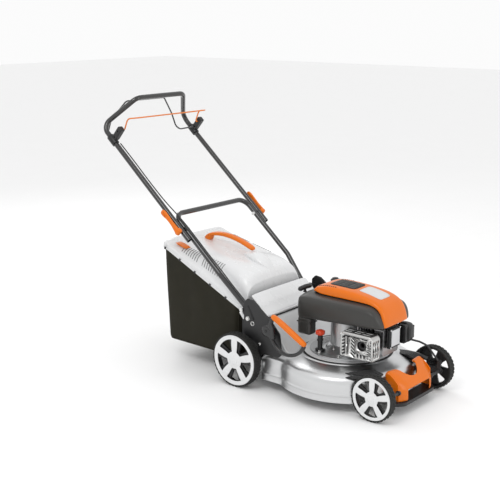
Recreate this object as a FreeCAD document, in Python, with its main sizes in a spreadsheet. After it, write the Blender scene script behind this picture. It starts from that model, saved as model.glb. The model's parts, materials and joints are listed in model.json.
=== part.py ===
import FreeCAD, Part
import math
import os

import Sketcher
from FreeCAD import Placement, Rotation, Vector

# Petrol walk-behind lawn mower with a rear grass bag.
# +X is the front of the mower, +Y the operator's left and +Z up.  The origin is on
# the ground, below the middle of the mower's overall box.  Lengths along X in the
# sheet are counted from the rear axle, and place() adds the axle's own offset.

doc = FreeCAD.newDocument("lawn_mower")
sheet = doc.addObject("Spreadsheet::Sheet", "Sizes")


class Size:
    """A length of the sheet, or one worked out from such lengths."""

    def __init__(self, value, text):
        self.value = value
        self.text = text

    def __add__(self, other):
        other = as_size(other)
        return Size(self.value + other.value, "(%s + %s)" % (self.text, other.text))

    def __sub__(self, other):
        other = as_size(other)
        return Size(self.value - other.value, "(%s - %s)" % (self.text, other.text))

    def __mul__(self, factor):
        return Size(self.value * factor, "(%s * %s)" % (self.text, factor))

    def __neg__(self):
        return self * -1

    def __rmul__(self, factor):
        return self * factor

    def __radd__(self, other):
        return as_size(other) + self

    def __rsub__(self, other):
        return as_size(other) - self

    def __float__(self):
        return float(self.value)


def as_size(number):
    """Turn a plain number into a Size."""
    return number if isinstance(number, Size) else Size(float(number), str(float(number)))


def driving(alias, value):
    """Put one driving dimension in the sheet."""
    driving.row += 1
    cell = "B%d" % driving.row
    sheet.set("A%d" % driving.row, alias)
    sheet.set(cell, str(value))
    sheet.setAlias(cell, alias)
    return Size(float(value), "Sizes." + alias)


driving.row = 0

# Wheels and axles
rear_axle_x = driving("rear_axle_x", 29.6)
wheelbase = driving("wheelbase", 628)
rear_radius = driving("rear_wheel_radius", 112.5)
front_radius = driving("front_wheel_radius", 90)
rear_track = driving("rear_half_track", 261)
front_track = driving("front_half_track", 221)
rear_width = driving("rear_tyre_width", 40)
front_width = driving("front_tyre_width", 34)
tyre_depth = driving("tyre_depth", 7)
axle_radius = driving("axle_radius", 6)
crank_arm = driving("crank_arm", 45)
link_arm = driving("link_arm", 35)
# Deck
deck_x = driving("blade_axis_x", 360)
deck_radius = driving("deck_radius", 275)
deck_low = driving("deck_edge_height", 40)
deck_top = driving("deck_top_height", 165)
shoulder = driving("deck_shoulder_height", 128)
steel = driving("steel_thickness", 2)
deck_half = driving("deck_rear_half_width", 225)
tunnel_half = driving("tunnel_half_width", 178)
tunnel_top = driving("tunnel_top_height", 285)
blade_radius = driving("blade_radius", 228)
blade_height = driving("blade_height", 62)
# Handle
tube_radius = driving("tube_radius", 11)
tube_wall = driving("tube_wall", 1.5)
lower_half = driving("lower_handle_half_width", 226.5)
upper_half = driving("upper_handle_half_width", 252.5)
pivot_x = driving("fold_pivot_x", -301)
pivot_z = driving("fold_pivot_height", 601)
handle_slope = driving("handle_slope_degrees", 41)
upper_reach = driving("upper_handle_reach", 607)
# Engine
engine_half = driving("engine_half_width", 122)
engine_rear = driving("engine_rear_x", 190)
engine_front = driving("engine_front_x", 582)
tank_low = driving("tank_low_height", 291)
tank_top = driving("tank_top_height", 398)
cover_top = driving("cover_top_height", 436)
shaft_radius = driving("crankshaft_radius", 11)
barrel_z = driving("cylinder_axis_height", 245)
# Bag
bag_wall = driving("bag_wall", 4)
# Height lever
lever_x = driving("lever_pivot_x", 150)
lever_z = driving("lever_pivot_height", 262)
lever_y = driving("lever_middle_y", -254)

RUNNING = 0.05    # radial clearance of a shaft in its bush

ALONG = {
    "X": Rotation(Vector(0, 1, 0), 90),
    "Y": Rotation(Vector(1, 0, 0), -90),
    "Z": Rotation(),
}
parts = []


def bind(thing, prop, length):
    """Set one size of an object and tie it to the sheet."""
    length = as_size(length)
    setattr(thing, prop, length.value)
    thing.setExpression(prop, length.text)


def place(thing, x, y, z, turn=None):
    """Put an object at a place counted from the rear axle, tied to the sheet."""
    spot = [as_size(x) + rear_axle_x, as_size(y), as_size(z)]
    thing.Placement = Placement(Vector(*[float(s) for s in spot]), turn or Rotation())
    for axis, length in zip("xyz", spot):
        thing.setExpression("Placement.Base." + axis, length.text)
    return thing


def node(thing, label):
    """Name a finished sub-part and keep it for the files."""
    thing.Label = label
    parts.append(thing)
    return thing


def block(length, width, height, x, y, z):
    """A block with its lowest corner at x, y, z."""
    thing = doc.addObject("Part::Box", "block")
    bind(thing, "Length", length)
    bind(thing, "Width", width)
    bind(thing, "Height", height)
    return place(thing, x, y, z)


def cylinder(radius, length, x, y, z, axis="Z"):
    thing = doc.addObject("Part::Cylinder", "cylinder")
    bind(thing, "Radius", radius)
    bind(thing, "Height", length)
    return place(thing, x, y, z, ALONG[axis])


def cone(radius1, radius2, length, x, y, z, axis="Z"):
    thing = doc.addObject("Part::Cone", "cone")
    bind(thing, "Radius1", radius1)
    bind(thing, "Radius2", radius2)
    bind(thing, "Height", length)
    return place(thing, x, y, z, ALONG[axis])


def across(radius, half_length, x, z):
    """A shaft along Y, centred on the middle plane."""
    return cylinder(radius, half_length * 2, x, -half_length, z, "Y")


def fuse(*shapes):
    thing = doc.addObject("Part::MultiFuse", "joined")
    thing.Shapes = list(shapes)
    return thing


def cut(base, *tools):
    thing = doc.addObject("Part::Cut", "cut")
    thing.Base = base
    thing.Tool = tools[0] if len(tools) == 1 else fuse(*tools)
    return thing


def common(first, second):
    thing = doc.addObject("Part::Common", "shared")
    thing.Base = first
    thing.Tool = second
    return thing


def group(*shapes):
    thing = doc.addObject("Part::Compound", "group")
    thing.Links = list(shapes)
    return thing


def mirrored(source):
    """The same piece on the other side of the middle plane."""
    thing = doc.addObject("Part::Mirroring", "mirrored")
    thing.Source = source
    thing.Normal = Vector(0, 1, 0)
    return thing


def pair(source):
    return group(source, mirrored(source))


def rounded(base, radius, wanted):
    """Round the edges of a solid that the test wanted(edge) picks."""
    doc.recompute()
    thing = doc.addObject("Part::Fillet", "rounded")
    thing.Base = base
    edges = base.Shape.Edges
    thing.Edges = [(i + 1, float(radius), float(radius)) for i, edge in enumerate(edges) if wanted(edge)]
    return thing


def runs_along(axis):
    """An edge test: straight and parallel to a main axis."""
    way = {"X": Vector(1, 0, 0), "Y": Vector(0, 1, 0), "Z": Vector(0, 0, 1)}[axis]

    def wanted(edge):
        if edge.Curve.TypeId != "Part::GeomLine":
            return False
        return abs(edge.tangentAt(edge.FirstParameter).dot(way)) > 0.999

    return wanted


def draw_outline(sketch, corners):
    """Draw a closed outline whose corners are tied to the sheet."""
    corners = [(as_size(u), as_size(v)) for u, v in corners]
    count = len(corners)
    for i, (u, v) in enumerate(corners):
        end_u, end_v = corners[(i + 1) % count]
        start = Vector(float(u), float(v), 0)
        sketch.addGeometry(Part.LineSegment(start, Vector(float(end_u), float(end_v), 0)))
    for i in range(count):
        sketch.addConstraint(Sketcher.Constraint("Coincident", i, 2, (i + 1) % count, 1))
    for i, (u, v) in enumerate(corners):
        for kind, length in (("DistanceX", u), ("DistanceY", v)):
            row = sketch.addConstraint(Sketcher.Constraint(kind, -1, 1, i, 1, float(length)))
            sketch.setExpression("Constraints[%d]" % row, length.text)


def new_sketch(body, plane):
    """A sketch on one of a body's own origin planes."""
    sketch = body.newObject("Sketcher::SketchObject", "outline")
    flat = [f for f in body.Origin.OriginFeatures if f.Role == plane][0]
    sketch.AttachmentSupport = [(flat, "")]
    sketch.MapMode = "FlatFace"
    return sketch


def padded(corners, half_width, y, round_by=0):
    """A plate drawn on the XZ plane, half_width thick each way from y, its corners rounded."""
    body = doc.addObject("PartDesign::Body", "plate")
    sketch = new_sketch(body, "XZ_Plane")
    draw_outline(sketch, corners)
    pad = body.newObject("PartDesign::Pad", "pad")
    pad.Profile = sketch
    bind(pad, "Length", as_size(half_width) * 2)
    pad.Midplane = True
    if round_by:
        doc.recompute()
        wanted = runs_along("Y")
        names = ["Edge%d" % (i + 1) for i, edge in enumerate(pad.Shape.Edges) if wanted(edge)]
        fillet = body.newObject("PartDesign::Fillet", "corners")
        fillet.Base = (pad, names)
        fillet.Radius = round_by
        body.Tip = fillet
    return place(body, 0, y, 0)


def turned(corners, x, y, z, turn=None):
    """A round piece: an outline of radius and height turned about its own Z axis."""
    body = doc.addObject("PartDesign::Body", "turned")
    sketch = new_sketch(body, "XZ_Plane")
    draw_outline(sketch, corners)
    revolution = body.newObject("PartDesign::Revolution", "revolution")
    revolution.Profile = sketch
    revolution.ReferenceAxis = (sketch, ["V_Axis"])
    revolution.Angle = 360
    return place(body, x, y, z, turn)


def spot(x, y, z):
    """A point counted from the rear axle."""
    return Vector(float(x) + float(rear_axle_x), float(y), float(z))


def rounded_path(points, bend):
    """A wire of straight runs joined by tangent arcs; bend is the largest radius."""
    edges = []
    start = points[0]
    for before, corner, after in zip(points, points[1:], points[2:]):
        come = (before - corner).normalize()
        go = (after - corner).normalize()
        half = come.getAngle(go) / 2
        room = 0.45 * min((before - corner).Length, (after - corner).Length)
        radius = min(bend, room * math.tan(half))
        reach = radius / math.tan(half)
        first = corner + come * reach
        last = corner + go * reach
        inward = (come + go).normalize()
        middle = corner + inward * (radius / math.sin(half) - radius)
        edges.append(Part.LineSegment(start, first).toShape())
        edges.append(Part.Arc(first, middle, last).toShape())
        start = last
    edges.append(Part.LineSegment(start, points[-1]).toShape())
    return Part.Wire(edges)


def swept(points, radius, bend, wall=0):
    """A rod, or a tube with a wall, along a rounded path."""
    path = rounded_path(points, bend)
    way = (points[1] - points[0]).normalize()
    rod = path.makePipe(Part.Face(Part.Wire(Part.makeCircle(float(radius), points[0], way))))
    if wall:
        inner = Part.Wire(Part.makeCircle(float(radius) - float(wall), points[0], way))
        rod = rod.cut(path.makePipe(Part.Face(inner)))
    if not rod.isValid() or rod.Volume < 0:
        raise RuntimeError("a swept rod failed")
    return rod


def shape_feature(shape):
    """A piece whose shape is worked out in code from sizes in the sheet."""
    thing = doc.addObject("Part::Feature", "free_shape")
    thing.Shape = shape
    thing.Placement = Placement()
    return thing


def both_sides(points):
    """A route from the right end to its mirror image on the left."""
    return points + [Vector(p.x, -p.y, p.z) for p in reversed(points)]


def handle_point(along, y, lift=0):
    """A point on the handle's side view: a distance up its slope, and a lift square to it."""
    slope = math.radians(float(handle_slope))
    x = float(pivot_x) - along * math.cos(slope) + lift * math.sin(slope)
    z = float(pivot_z) + along * math.sin(slope) + lift * math.cos(slope)
    return spot(x, y, z)


# ---------------------------------------------------------------- wheels
WINDOWS = 5


def windows(radius, depth):
    """The five windows between a wheel's spokes: rounded triangles, wide side out."""
    outline = [(0.36, -0.06), (0.74, -0.21), (0.80, 0.0), (0.76, 0.19), (0.40, 0.05)]
    points = [Vector(r * radius, t * radius, -depth) for r, t in outline]
    face = Part.Face(Part.makePolygon(points + points[:1]))
    hole = face.extrude(Vector(0, 0, 2 * depth))
    upright = [e for e in hole.Edges if abs(e.tangentAt(e.FirstParameter).z) > 0.99]
    hole = hole.makeFillet(0.045 * radius, upright)
    turns = [360.0 / WINDOWS * i + 54 for i in range(WINDOWS)]
    return Part.makeCompound([hole.rotated(Vector(), Vector(0, 0, 1), turn) for turn in turns])


def wheel(corner, x, side, radius, width, track):
    """One wheel: a rubber tyre, a black wheel with five spokes and a white cover."""
    outward = Rotation(Vector(1, 0, 0), -90 * side)
    half = width * 0.5
    seat = radius - tyre_depth
    bore = axle_radius + RUNNING

    def round_piece(corners):
        return turned(corners, x, track * side, radius, outward)

    def opened(piece):
        tool = shape_feature(windows(float(radius), float(half) + 5))
        place(tool, x, track * side, radius, outward)
        return cut(piece, tool)

    tyre = round_piece([(seat, -half), (radius - 3, -half), (radius, -half + 4), (radius, half - 4),
                        (radius - 3, half), (seat, half)])
    rim = round_piece([(bore, -half + 1), (20, -half + 1), (22, 2), (seat - 7, 2), (seat - 5, -half + 1),
                       (seat - 0.2, -half + 1), (seat - 0.2, half - 3.2), (seat - 8, half - 3.2),
                       (seat - 10, half - 8), (24, half - 8), (22, half - 3.2), (bore, half - 3.2)])
    cover = round_piece([(0, half - 3), (seat - 0.4, half - 3), (seat - 0.4, half - 0.5), (seat - 5, half),
                         (seat - 9, half - 1), (0.34 * radius, half - 0.6), (0.24 * radius, half + 1.6),
                         (0, half + 2.2)])
    node(tyre, "tyre_" + corner)
    node(opened(rim), "wheel_" + corner)
    node(opened(cover), "wheel_cover_" + corner)


for side, hand in ((-1, "right"), (1, "left")):
    wheel("rear_" + hand, 0, side, rear_radius, rear_width, rear_track)
    wheel("front_" + hand, wheelbase, side, front_radius, front_width, front_track)

# ---------------------------------------------------------------- height adjustment
CRANK_THICK = 6
rear_crank_y = driving("rear_crank_y", 222)
front_crank_y = driving("front_crank_y", 191.5)
link_y = driving("link_rod_y", 194)
link_radius = driving("link_rod_radius", 4)
LINK_ARM_Y = 183


def crank_axle(x, z, crank_y, stub_half):
    """A cranked axle: a shaft that turns in the deck, with an arm to the wheels at each end."""
    pivot = x + crank_arm
    stub = stub_half - crank_y
    arm = fuse(
        block(crank_arm, CRANK_THICK, 24, x, crank_y, z - 12),
        cylinder(12, CRANK_THICK, x, crank_y, z, "Y"),
        cylinder(12, CRANK_THICK, pivot, crank_y, z, "Y"),
        cylinder(axle_radius, stub, x, crank_y, z, "Y"),
    )
    link = fuse(
        block(16, CRANK_THICK, link_arm, pivot - 8, LINK_ARM_Y, z),
        cylinder(8, CRANK_THICK, pivot, LINK_ARM_Y, z + link_arm, "Y"),
        cylinder(4, 17, pivot, LINK_ARM_Y, z + link_arm, "Y"),
    )
    return fuse(across(axle_radius, crank_y + CRANK_THICK, pivot, z), arm, mirrored(arm), link)


rear_stub = rear_track + rear_width * 0.5 - 4
front_stub = front_track + front_width * 0.5 - 4
rear_axle = crank_axle(as_size(0), rear_radius, rear_crank_y, rear_stub)
drive_shaft = across(axle_radius, rear_crank_y + 1, 0, rear_radius)
node(fuse(rear_axle, drive_shaft), "rear_axle")
node(crank_axle(wheelbase, front_radius, front_crank_y, front_stub), "front_axle")

gearbox = fuse(
    rounded(block(58, 64, 44, -30, 14, rear_radius - 22), 6, runs_along("Y")),
    cylinder(15, 90, 0, 1, rear_radius, "Y"),
    cylinder(9, 12, 12, 46, rear_radius + 20, "Z"),
)
node(cut(gearbox, across(axle_radius + 0.02, 120, 0, rear_radius)), "gearbox")

rear_pin = spot(crank_arm, link_y, rear_radius + link_arm)
front_pin = spot(wheelbase + crank_arm, link_y, front_radius + link_arm)
rod_route = [rear_pin + Vector(0, 0, 8), rear_pin + Vector(18, 0, 56), front_pin + Vector(-95, 0, 66),
             front_pin + Vector(-60, 0, 58), front_pin + Vector(-8, 0, 4)]
eyes = [Part.makeCylinder(9, 8, pin - Vector(0, 4, 0), Vector(0, 1, 0)) for pin in (rear_pin, front_pin)]
holes = [Part.makeCylinder(4 + RUNNING, 8, pin - Vector(0, 4, 0), Vector(0, 1, 0))
         for pin in (rear_pin, front_pin)]
rod = swept(rod_route, link_radius, 40)
node(shape_feature(rod.multiFuse(eyes).cut(holes[0]).cut(holes[1])), "link_rod")

LEVER_HALF = 9


def lever_shape():
    """The D-shaped hand lever with its hub; the straight side holds the grip."""
    def at(x, z):
        return spot(x, float(lever_y) - LEVER_HALF, z)

    def d_face(top, low, belly):
        wire = Part.Wire([Part.makeLine(low, top), Part.Arc(top, belly, low).toShape()])
        return Part.Face(wire)

    way = Vector(0, 2 * LEVER_HALF, 0)
    frame = d_face(at(168, 334), at(342, 240), at(226, 176)).extrude(way)
    upright = [e for e in frame.Edges if abs(e.tangentAt(e.FirstParameter).y) > 0.99]
    frame = frame.makeFillet(10, upright)
    window = d_face(at(182, 312), at(322, 236), at(231, 194)).extrude(way)
    arm = Part.makePolygon([at(140, 284), at(176, 306), at(190, 230), at(148, 238), at(140, 284)])
    arm = Part.Face(arm).extrude(way)
    hub = Part.makeCylinder(22, 26, at(150, 262), Vector(0, 1, 0))
    return frame.fuse(arm).cut(window).fuse(hub)


def grip_bar():
    """The straight bar of the D, one row of the frame's long side."""
    corners = [(178, 338), (190, 334), (341, 251), (344, 241), (325, 230), (172, 314)]
    points = [spot(x, float(lever_y) - LEVER_HALF - 2, z) for x, z in corners]
    face = Part.Face(Part.makePolygon(points + points[:1]))
    return face.extrude(Vector(0, 2 * LEVER_HALF + 4, 0))


lever = lever_shape()
bar = grip_bar()
pin_hole = Part.makeCylinder(6 + RUNNING, 40, spot(lever_x, float(lever_y) - 15, lever_z), Vector(0, 1, 0))
node(shape_feature(lever.cut(bar).cut(pin_hole)), "height_lever")
node(shape_feature(bar), "lever_grip")

# ---------------------------------------------------------------- deck
def deck_body(inset, low, passage):
    """The deck's round pan and its straight rear part, both smaller by inset, with a passage above."""
    pan = turned([(0, low), (deck_radius - inset, low), (deck_radius - inset, shoulder - inset * 0.4),
                  (268 - inset * 0.8, 141 - inset * 0.7), (250 - inset * 0.4, 151 - inset),
                  (214, 158 - inset), (186 - inset * 0.3, 160 - inset),
                  (180 - inset * 0.5, deck_top - inset), (0, deck_top - inset)], deck_x, 0, 0)
    back = 84 + inset
    half = deck_half - inset
    rear = block(deck_x - back, half * 2, 150 - inset - low, back, -half, low)
    corner = block(160, 120, 200, 518 - inset, 190 - inset, 0)
    return cut(fuse(pan, rear, *passage), corner, mirrored(corner))


def deck_outside():
    ramp = padded([(60, 169), (60, tunnel_top), (96, tunnel_top), (188, deck_top), (230, 140), (84, 140),
                   (84, 169)], tunnel_half, 0)
    return deck_body(as_size(0), deck_low, [ramp])


def deck_inside():
    half = tunnel_half - steel
    tunnel = padded([(58, 172), (58, tunnel_top - steel), (95, tunnel_top - steel), (187, deck_top - steel),
                     (228, 138), (228, 120), (112, 120), (112, 172)], half, 0)
    pocket = padded([(86, 120), (86, 168), (109, 168), (109, 120)], half, 0)
    return deck_body(steel, deck_low - 8, [tunnel, pocket])


rolled_edge = cut(cylinder(deck_radius + 2, 4, deck_x, 0, deck_low),
                  cylinder(deck_radius - 1, 4, deck_x, 0, deck_low),
                  block(300, 600, 10, 518, -300, deck_low - 2), block(300, 600, 10, -100, -300, deck_low - 2))
shaft_hole = cylinder(40, 40, deck_x, 0, deck_top - 20)
node(fuse(cut(deck_outside(), deck_inside(), shaft_hole), rolled_edge), "deck_shell")

housing = cut(
    fuse(
        block(99.5, tunnel_half * 2, 116, -40, -tunnel_half, 169),
        pair(block(31.5, 12, 80, 28, tunnel_half - 12, 92)),
    ),
    block(110, 344, 107, -45, -172, 172),
    across(10 + RUNNING, 200, crank_arm, rear_radius),
)
node(housing, "rear_housing")


def ring(outer, inner, length, x, y, z):
    return cut(cylinder(outer, length, x, y, z, "Y"), cylinder(inner, length, x, y, z, "Y"))


front_pivot = wheelbase + crank_arm
bushes = [
    ring(10, axle_radius + RUNNING, 12, crank_arm, tunnel_half - 12, rear_radius),
    ring(10, axle_radius + RUNNING, 8, front_pivot, 115, front_radius),
]
node(group(*bushes, *[mirrored(bush) for bush in bushes]), "axle_bushes")

node(fuse(
    pair(block(92, 74, 10, 512, 104, 161)),
    pair(block(42, 36, 10, 604, 142, 161)),
), "front_axle_cover")

BUMPER_HALF = 122
bumper_shell = padded([(617, 149), (619, 159), (630, 162), (646, 151), (678, 124), (692, 102), (696, 54),
                       (640, 54)], BUMPER_HALF, 0, 4)
bumper_room = padded([(600, 40), (600, 148), (620, 150), (630, 155), (641, 146), (672, 118), (685, 98),
                      (689, 40)], BUMPER_HALF - 6, 0)
bumper = cut(bumper_shell, bumper_room, block(30, 164, 34, 675, -82, 66), cylinder(68, 120, 604, 0, 110),
             across(10 + RUNNING, 180, front_pivot, front_radius))
node(bumper, "front_bumper")


def front_corner(edge):
    """The lower bumper's upright edges at its front."""
    return runs_along("Z")(edge) and edge.CenterOfMass.x > 700


lower_bumper = rounded(block(58, 276, 13, 640, -138, 40), 46, front_corner)
lower_room = rounded(block(60, 260, 20, 630, -130, 30), 38, front_corner)
node(cut(lower_bumper, lower_room), "lower_bumper")

# ---------------------------------------------------------------- side covers and lower handle
COVER_IN = 227
COVER_THICK = 6
cover_plate = padded([(16, 350), (34, 368), (62, 364), (150, 300), (196, 250), (206, 168), (190, 152),
                      (62, 152), (14, 232)], COVER_THICK * 0.5, COVER_IN + COVER_THICK * 0.5, 8)
tube_lug = padded([(4, 300), (4, 332), (40, 332), (66, 290), (50, 268), (30, 268)], 7, COVER_IN - 7)
covers = pair(fuse(cover_plate, tube_lug))
lever_pin = cylinder(6, 38, lever_x, -265, lever_z, "Y")

tube_line = [
    spot(40, -200, 281),
    spot(-14, -203, 332),
    handle_point(-243, -float(lower_half)),
    handle_point(86, -float(lower_half)),
]
BEND = 45
HANDLE_HOLE = 4.3


def bolt_hole(x, z):
    """A hole right across both handle tubes."""
    return Part.makeCylinder(HANDLE_HOLE, 2 * 270, spot(x, -270, z), Vector(0, 1, 0))


LUG_BOLTS = [(3, 316), (36, 285)]
lower_tube = swept(both_sides(tube_line), tube_radius, BEND, tube_wall)
for x, z in LUG_BOLTS + [(pivot_x, pivot_z)]:
    lower_tube = lower_tube.cut(bolt_hole(x, z))
node(shape_feature(lower_tube), "lower_handle")
lug_holes = [across(HANDLE_HOLE, 240, x, z) for x, z in LUG_BOLTS]
node(cut(fuse(covers, lever_pin), *lug_holes), "side_covers")
handle_bolts = [fuse(cylinder(4, 58, x, 183, z, "Y"), cylinder(8, 5, x, 233.3, z, "Y"),
                     cylinder(7, 5, x, 180, z, "Y")) for x, z in LUG_BOLTS]

# ---------------------------------------------------------------- engine
crank_hole = cylinder(13, 200, deck_x, 0, 160)
node(cut(
    fuse(
        cylinder(150, 8, deck_x, 0, deck_top),
        cone(112, 70, 20, deck_x, 0, deck_top + 8),
        cylinder(68, 108, deck_x, 0, deck_top + 26),
    ),
    crank_hole,
    cylinder(58, 96, deck_x, 0, deck_top + 30),
    cylinder(10.2, 30, 300, -104, 160),
    cylinder(40, 20, deck_x, 0, deck_top - 12),
), "crankcase")
fins = [rounded(block(4, 112, 112, 442 + 12 * i, -56, barrel_z - 56), 14, runs_along("X")) for i in range(6)]
node(fuse(cylinder(36, 90, 429, 0, barrel_z, "X"), *fins), "cylinder_block")
head = rounded(block(40, 112, 110, 519.5, -56, barrel_z - 55), 10, runs_along("X"))
node(cut(head, cylinder(7, 30, 530, 30, barrel_z + 35, "Y")), "cylinder_head")
node(rounded(block(24, 76, 82, 560, -38, barrel_z - 27), 8, runs_along("X")), "valve_cover")
node(fuse(cylinder(6, 30, 530, 33, barrel_z + 35, "Y"), cylinder(9, 7, 530, 56.5, barrel_z + 35, "Y"),
          cylinder(4, 20, 530, 60, barrel_z + 35, "Y")), "spark_plug")

guard_front = driving("guard_front_x", 572)
guard_rear = driving("guard_rear_x", 423)
guard_low = driving("guard_low_height", 194)
guard_top = driving("guard_top_height", 293)
guard_out = driving("guard_outer_y", -150)
SHEET = 1.5
muffler = rounded(block(120, 50, 78, 438, guard_out + 12, guard_low + 10), 14, runs_along("Y"))
outlet = cylinder(14, 10, 524, guard_out + 6, 252, "Y")
elbow = cylinder(12, 32, 534, -88, 226, "Y")
muffler_room = block(112, 42, 70, 442, guard_out + 16, guard_low + 14)
outlet_bore = cylinder(11, 20, 524, guard_out + 4, 252, "Y")
node(cut(fuse(muffler, outlet, elbow), muffler_room, outlet_bore), "muffler")


def guard_box(inset):
    """The guard's outer form, its upper edges sloped; with an inset, the space inside it."""
    low = guard_low - (5 if float(inset) else 0)
    return padded([(guard_rear + inset, low), (guard_rear + inset, guard_top - 14 - inset),
                   (guard_rear + 14, guard_top - inset), (guard_front - 12, guard_top - inset),
                   (guard_front - inset, guard_top - 16), (guard_front - inset, low)],
                  29 - inset * 0.5, guard_out + 29 + inset * 0.5)


def slots():
    """Slanted slots through the guard's outer face, a round outlet hole and slots in its ends."""
    tools = []
    for x, lean in ((440, 35), (470, -35), (490, -35)):
        for row in range(5):
            slot = block(14, 10, 5, 0, 0, 0)
            place(slot, x - 7, guard_out - 4, guard_low + 16 + 18 * row, Rotation(Vector(0, 1, 0), lean))
            tools.append(slot)
    tools.append(cylinder(19, 12, 524, guard_out - 4, 252, "Y"))
    tools.extend(block(8, 10, 20, x, guard_out - 4, guard_low + 10) for x in (510, 530, 550))
    
    for x in (guard_front - 6, guard_rear - 4):
        tools.extend(block(10, 5, 60, x, guard_out + 10 + 12 * i, guard_low + 14) for i in range(4))
    tools.extend(block(22, 5, 10, 448 + 28 * i, guard_out + 18 + 14 * j, guard_top - 5)
                 for i in range(4) for j in range(2))
    return tools


guard_back = block(170, 40, 140, 410, guard_out + 57, 170)
guard = cut(guard_box(as_size(0)), guard_box(as_size(SHEET)), guard_back, *slots())
node(guard, "muffler_guard")

node(fuse(block(40, 36, 40, 500, 64, 226), cylinder(14, 10, 518, 56.3, 246, "Y")), "carburettor")
FILTER_LOW = 222
filter_box = rounded(block(36, 17, 74, 562, 46, FILTER_LOW + 3), 8, runs_along("Y"))
node(filter_box, "air_filter_base")
filter_lid = rounded(block(62, 46, 80, 544, 63.2, FILTER_LOW), 20, runs_along("Y"))
node(cut(filter_lid, block(40, 34, 56, 555, 61, FILTER_LOW + 12)), "air_filter_cover")

tank = rounded(
    padded([(engine_rear + 2, tank_low), (engine_rear, 372), (engine_rear + 22, tank_top), (530, tank_top),
            (566, 366), (engine_front - 2, 322), (engine_front - 8, 314), (548, 308)], engine_half, 0),
    26, lambda edge: runs_along("X")(edge) and edge.CenterOfMass.z > 360)
cup = rounded(block(62, 44, 70, engine_rear + 4, -engine_half + 8, 226), 16, runs_along("Z"))
room = padded([(engine_rear + 6, 270), (engine_rear + 6, 368), (engine_rear + 24, tank_top - 6),
               (526, tank_top - 6), (558, 362), (568, 322), (560, 270)], engine_half - 8, 0)
filter_notch = block(80, 100, 56, 520, 44, 250)
front_notch = block(60, 110, 60, 545, -62, 270)
node(cut(fuse(tank, cup), room, filter_notch, front_notch), "fuel_tank")

COVER_HALF = 76


def cover_form(half, rise):
    """The engine cover's side view, raised by rise from its inner face."""
    return padded([(232 - rise, tank_top + 0.3), (262, 416 + rise), (300, cover_top - 4 + rise),
                   (420, cover_top - 4 + rise), (524, 420 + rise), (566 + rise, 388),
                   (586 + rise, 336), (585 + rise, 313), (552, 313), (545, tank_top + 0.3)], half, 0, 4)


grille_window = block(120, 88, 40, 296, -44, cover_top - 25)
cover_room = padded([(240, 380), (266, 414), (302, 428), (418, 428), (522, 416), (560, 384), (583.5, 334),
                     (583.5, 290), (400, 290)], COVER_HALF - 4, 0)
cover = cut(cover_form(COVER_HALF, as_size(4)), cover_room, grille_window,
            padded([(200, 300), (200, tank_top + 0.2), (531, tank_top + 0.2), (567, 366.5), (583.4, 316),
                    (583.4, 300)], 130, 0))
node(cover, "engine_cover")
grille = cut(block(119, 87, 4, 296.5, -43.5, cover_top - 4.5),
             *[block(105, 5, 20, 303, -36 + 13 * i, cover_top - 10) for i in range(6)])
node(grille, "cover_grille")

filler_x = 300
filler_y = -104
neck = cylinder(10, 64, filler_x, filler_y, deck_top + 9)
neck_bore = cylinder(7, 80, filler_x, filler_y, deck_top)
node(cut(neck, neck_bore), "oil_filler_tube")
dipstick = cylinder(2, 60, filler_x, filler_y, deck_top + 14)
oil_knob = cylinder(16, 15, filler_x, filler_y, deck_top + 73.4)
oil_rib = block(28, 6, 7, filler_x - 14, filler_y - 3, deck_top + 88)
node(fuse(oil_knob, dipstick, oil_rib), "oil_cap")
node(fuse(cylinder(18, 14, 228, 98, tank_top + 0.4), cylinder(13, 6, 228, 98, tank_top + 14)), "fuel_cap")
GRIP_SPOT = (176, -40, 386)
grip_bar_block = block(20, 78, 22, GRIP_SPOT[0] - 10, GRIP_SPOT[1] - 39, GRIP_SPOT[2])
grip_stem = cylinder(6, 10, GRIP_SPOT[0], GRIP_SPOT[1], GRIP_SPOT[2] - 8)
node(fuse(rounded(grip_bar_block, 6, runs_along("Y")), grip_stem), "starter_grip")

# ---------------------------------------------------------------- what the crankshaft turns
BLADE_TOP = blade_height + 4
node(fuse(
    cylinder(shaft_radius, 290, deck_x, 0, BLADE_TOP + 20),
    cylinder(22, 22, deck_x, 0, BLADE_TOP + 0.1),
    cylinder(8, 20, deck_x, 0, blade_height - 4),
    cylinder(12, 7, deck_x, 0, blade_height - 7.2),
), "crankshaft")
vanes = []
for i in range(12):
    vane = block(26, 3, 14, 0, 0, 0)
    turn = math.radians(30 * i)
    place(vane, deck_x + 54 * math.cos(turn), 54 * math.sin(turn), 339, Rotation(Vector(0, 0, 1), 30 * i))
    vanes.append(vane)
flywheel_bore = cylinder(shaft_radius + 0.02, 60, deck_x, 0, 320)
flywheel = cut(fuse(cylinder(86, 12, deck_x, 0, 328), *vanes), flywheel_bore)
node(flywheel, "flywheel")
blade_bar = block(blade_radius * 2, 54, 4, deck_x - blade_radius, -27, blade_height)
blade = common(blade_bar, cylinder(blade_radius, 10, deck_x, 0, blade_height - 2))
node(cut(blade, cylinder(8.1, 20, deck_x, 0, blade_height - 5)), "blade")

# ---------------------------------------------------------------- upper handle
LOOP_RISE = 159
loop_half = driving("handle_loop_half_width", 144)
upper_line = [
    handle_point(-55, -float(upper_half)),
    handle_point(float(upper_reach), -float(upper_half)),
    handle_point(float(upper_reach), -float(loop_half), LOOP_RISE),
]
upper_tube = swept(both_sides(upper_line), tube_radius, 42, tube_wall).cut(bolt_hole(pivot_x, pivot_z))
node(shape_feature(upper_tube), "upper_handle")


def tilted_block(along, lift, y, size_along, size_lift, size_y, bevel=5):
    """A rounded block lined up with the handle's slope, centred on a point of it."""
    piece = Part.makeBox(size_along, size_y, size_lift, Vector(-size_along / 2, -size_y / 2, -size_lift / 2))
    piece = piece.makeFillet(bevel, piece.Edges)
    piece.rotate(Vector(), Vector(0, 1, 0), float(handle_slope))
    return piece.translated(handle_point(along, y, lift))


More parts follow.
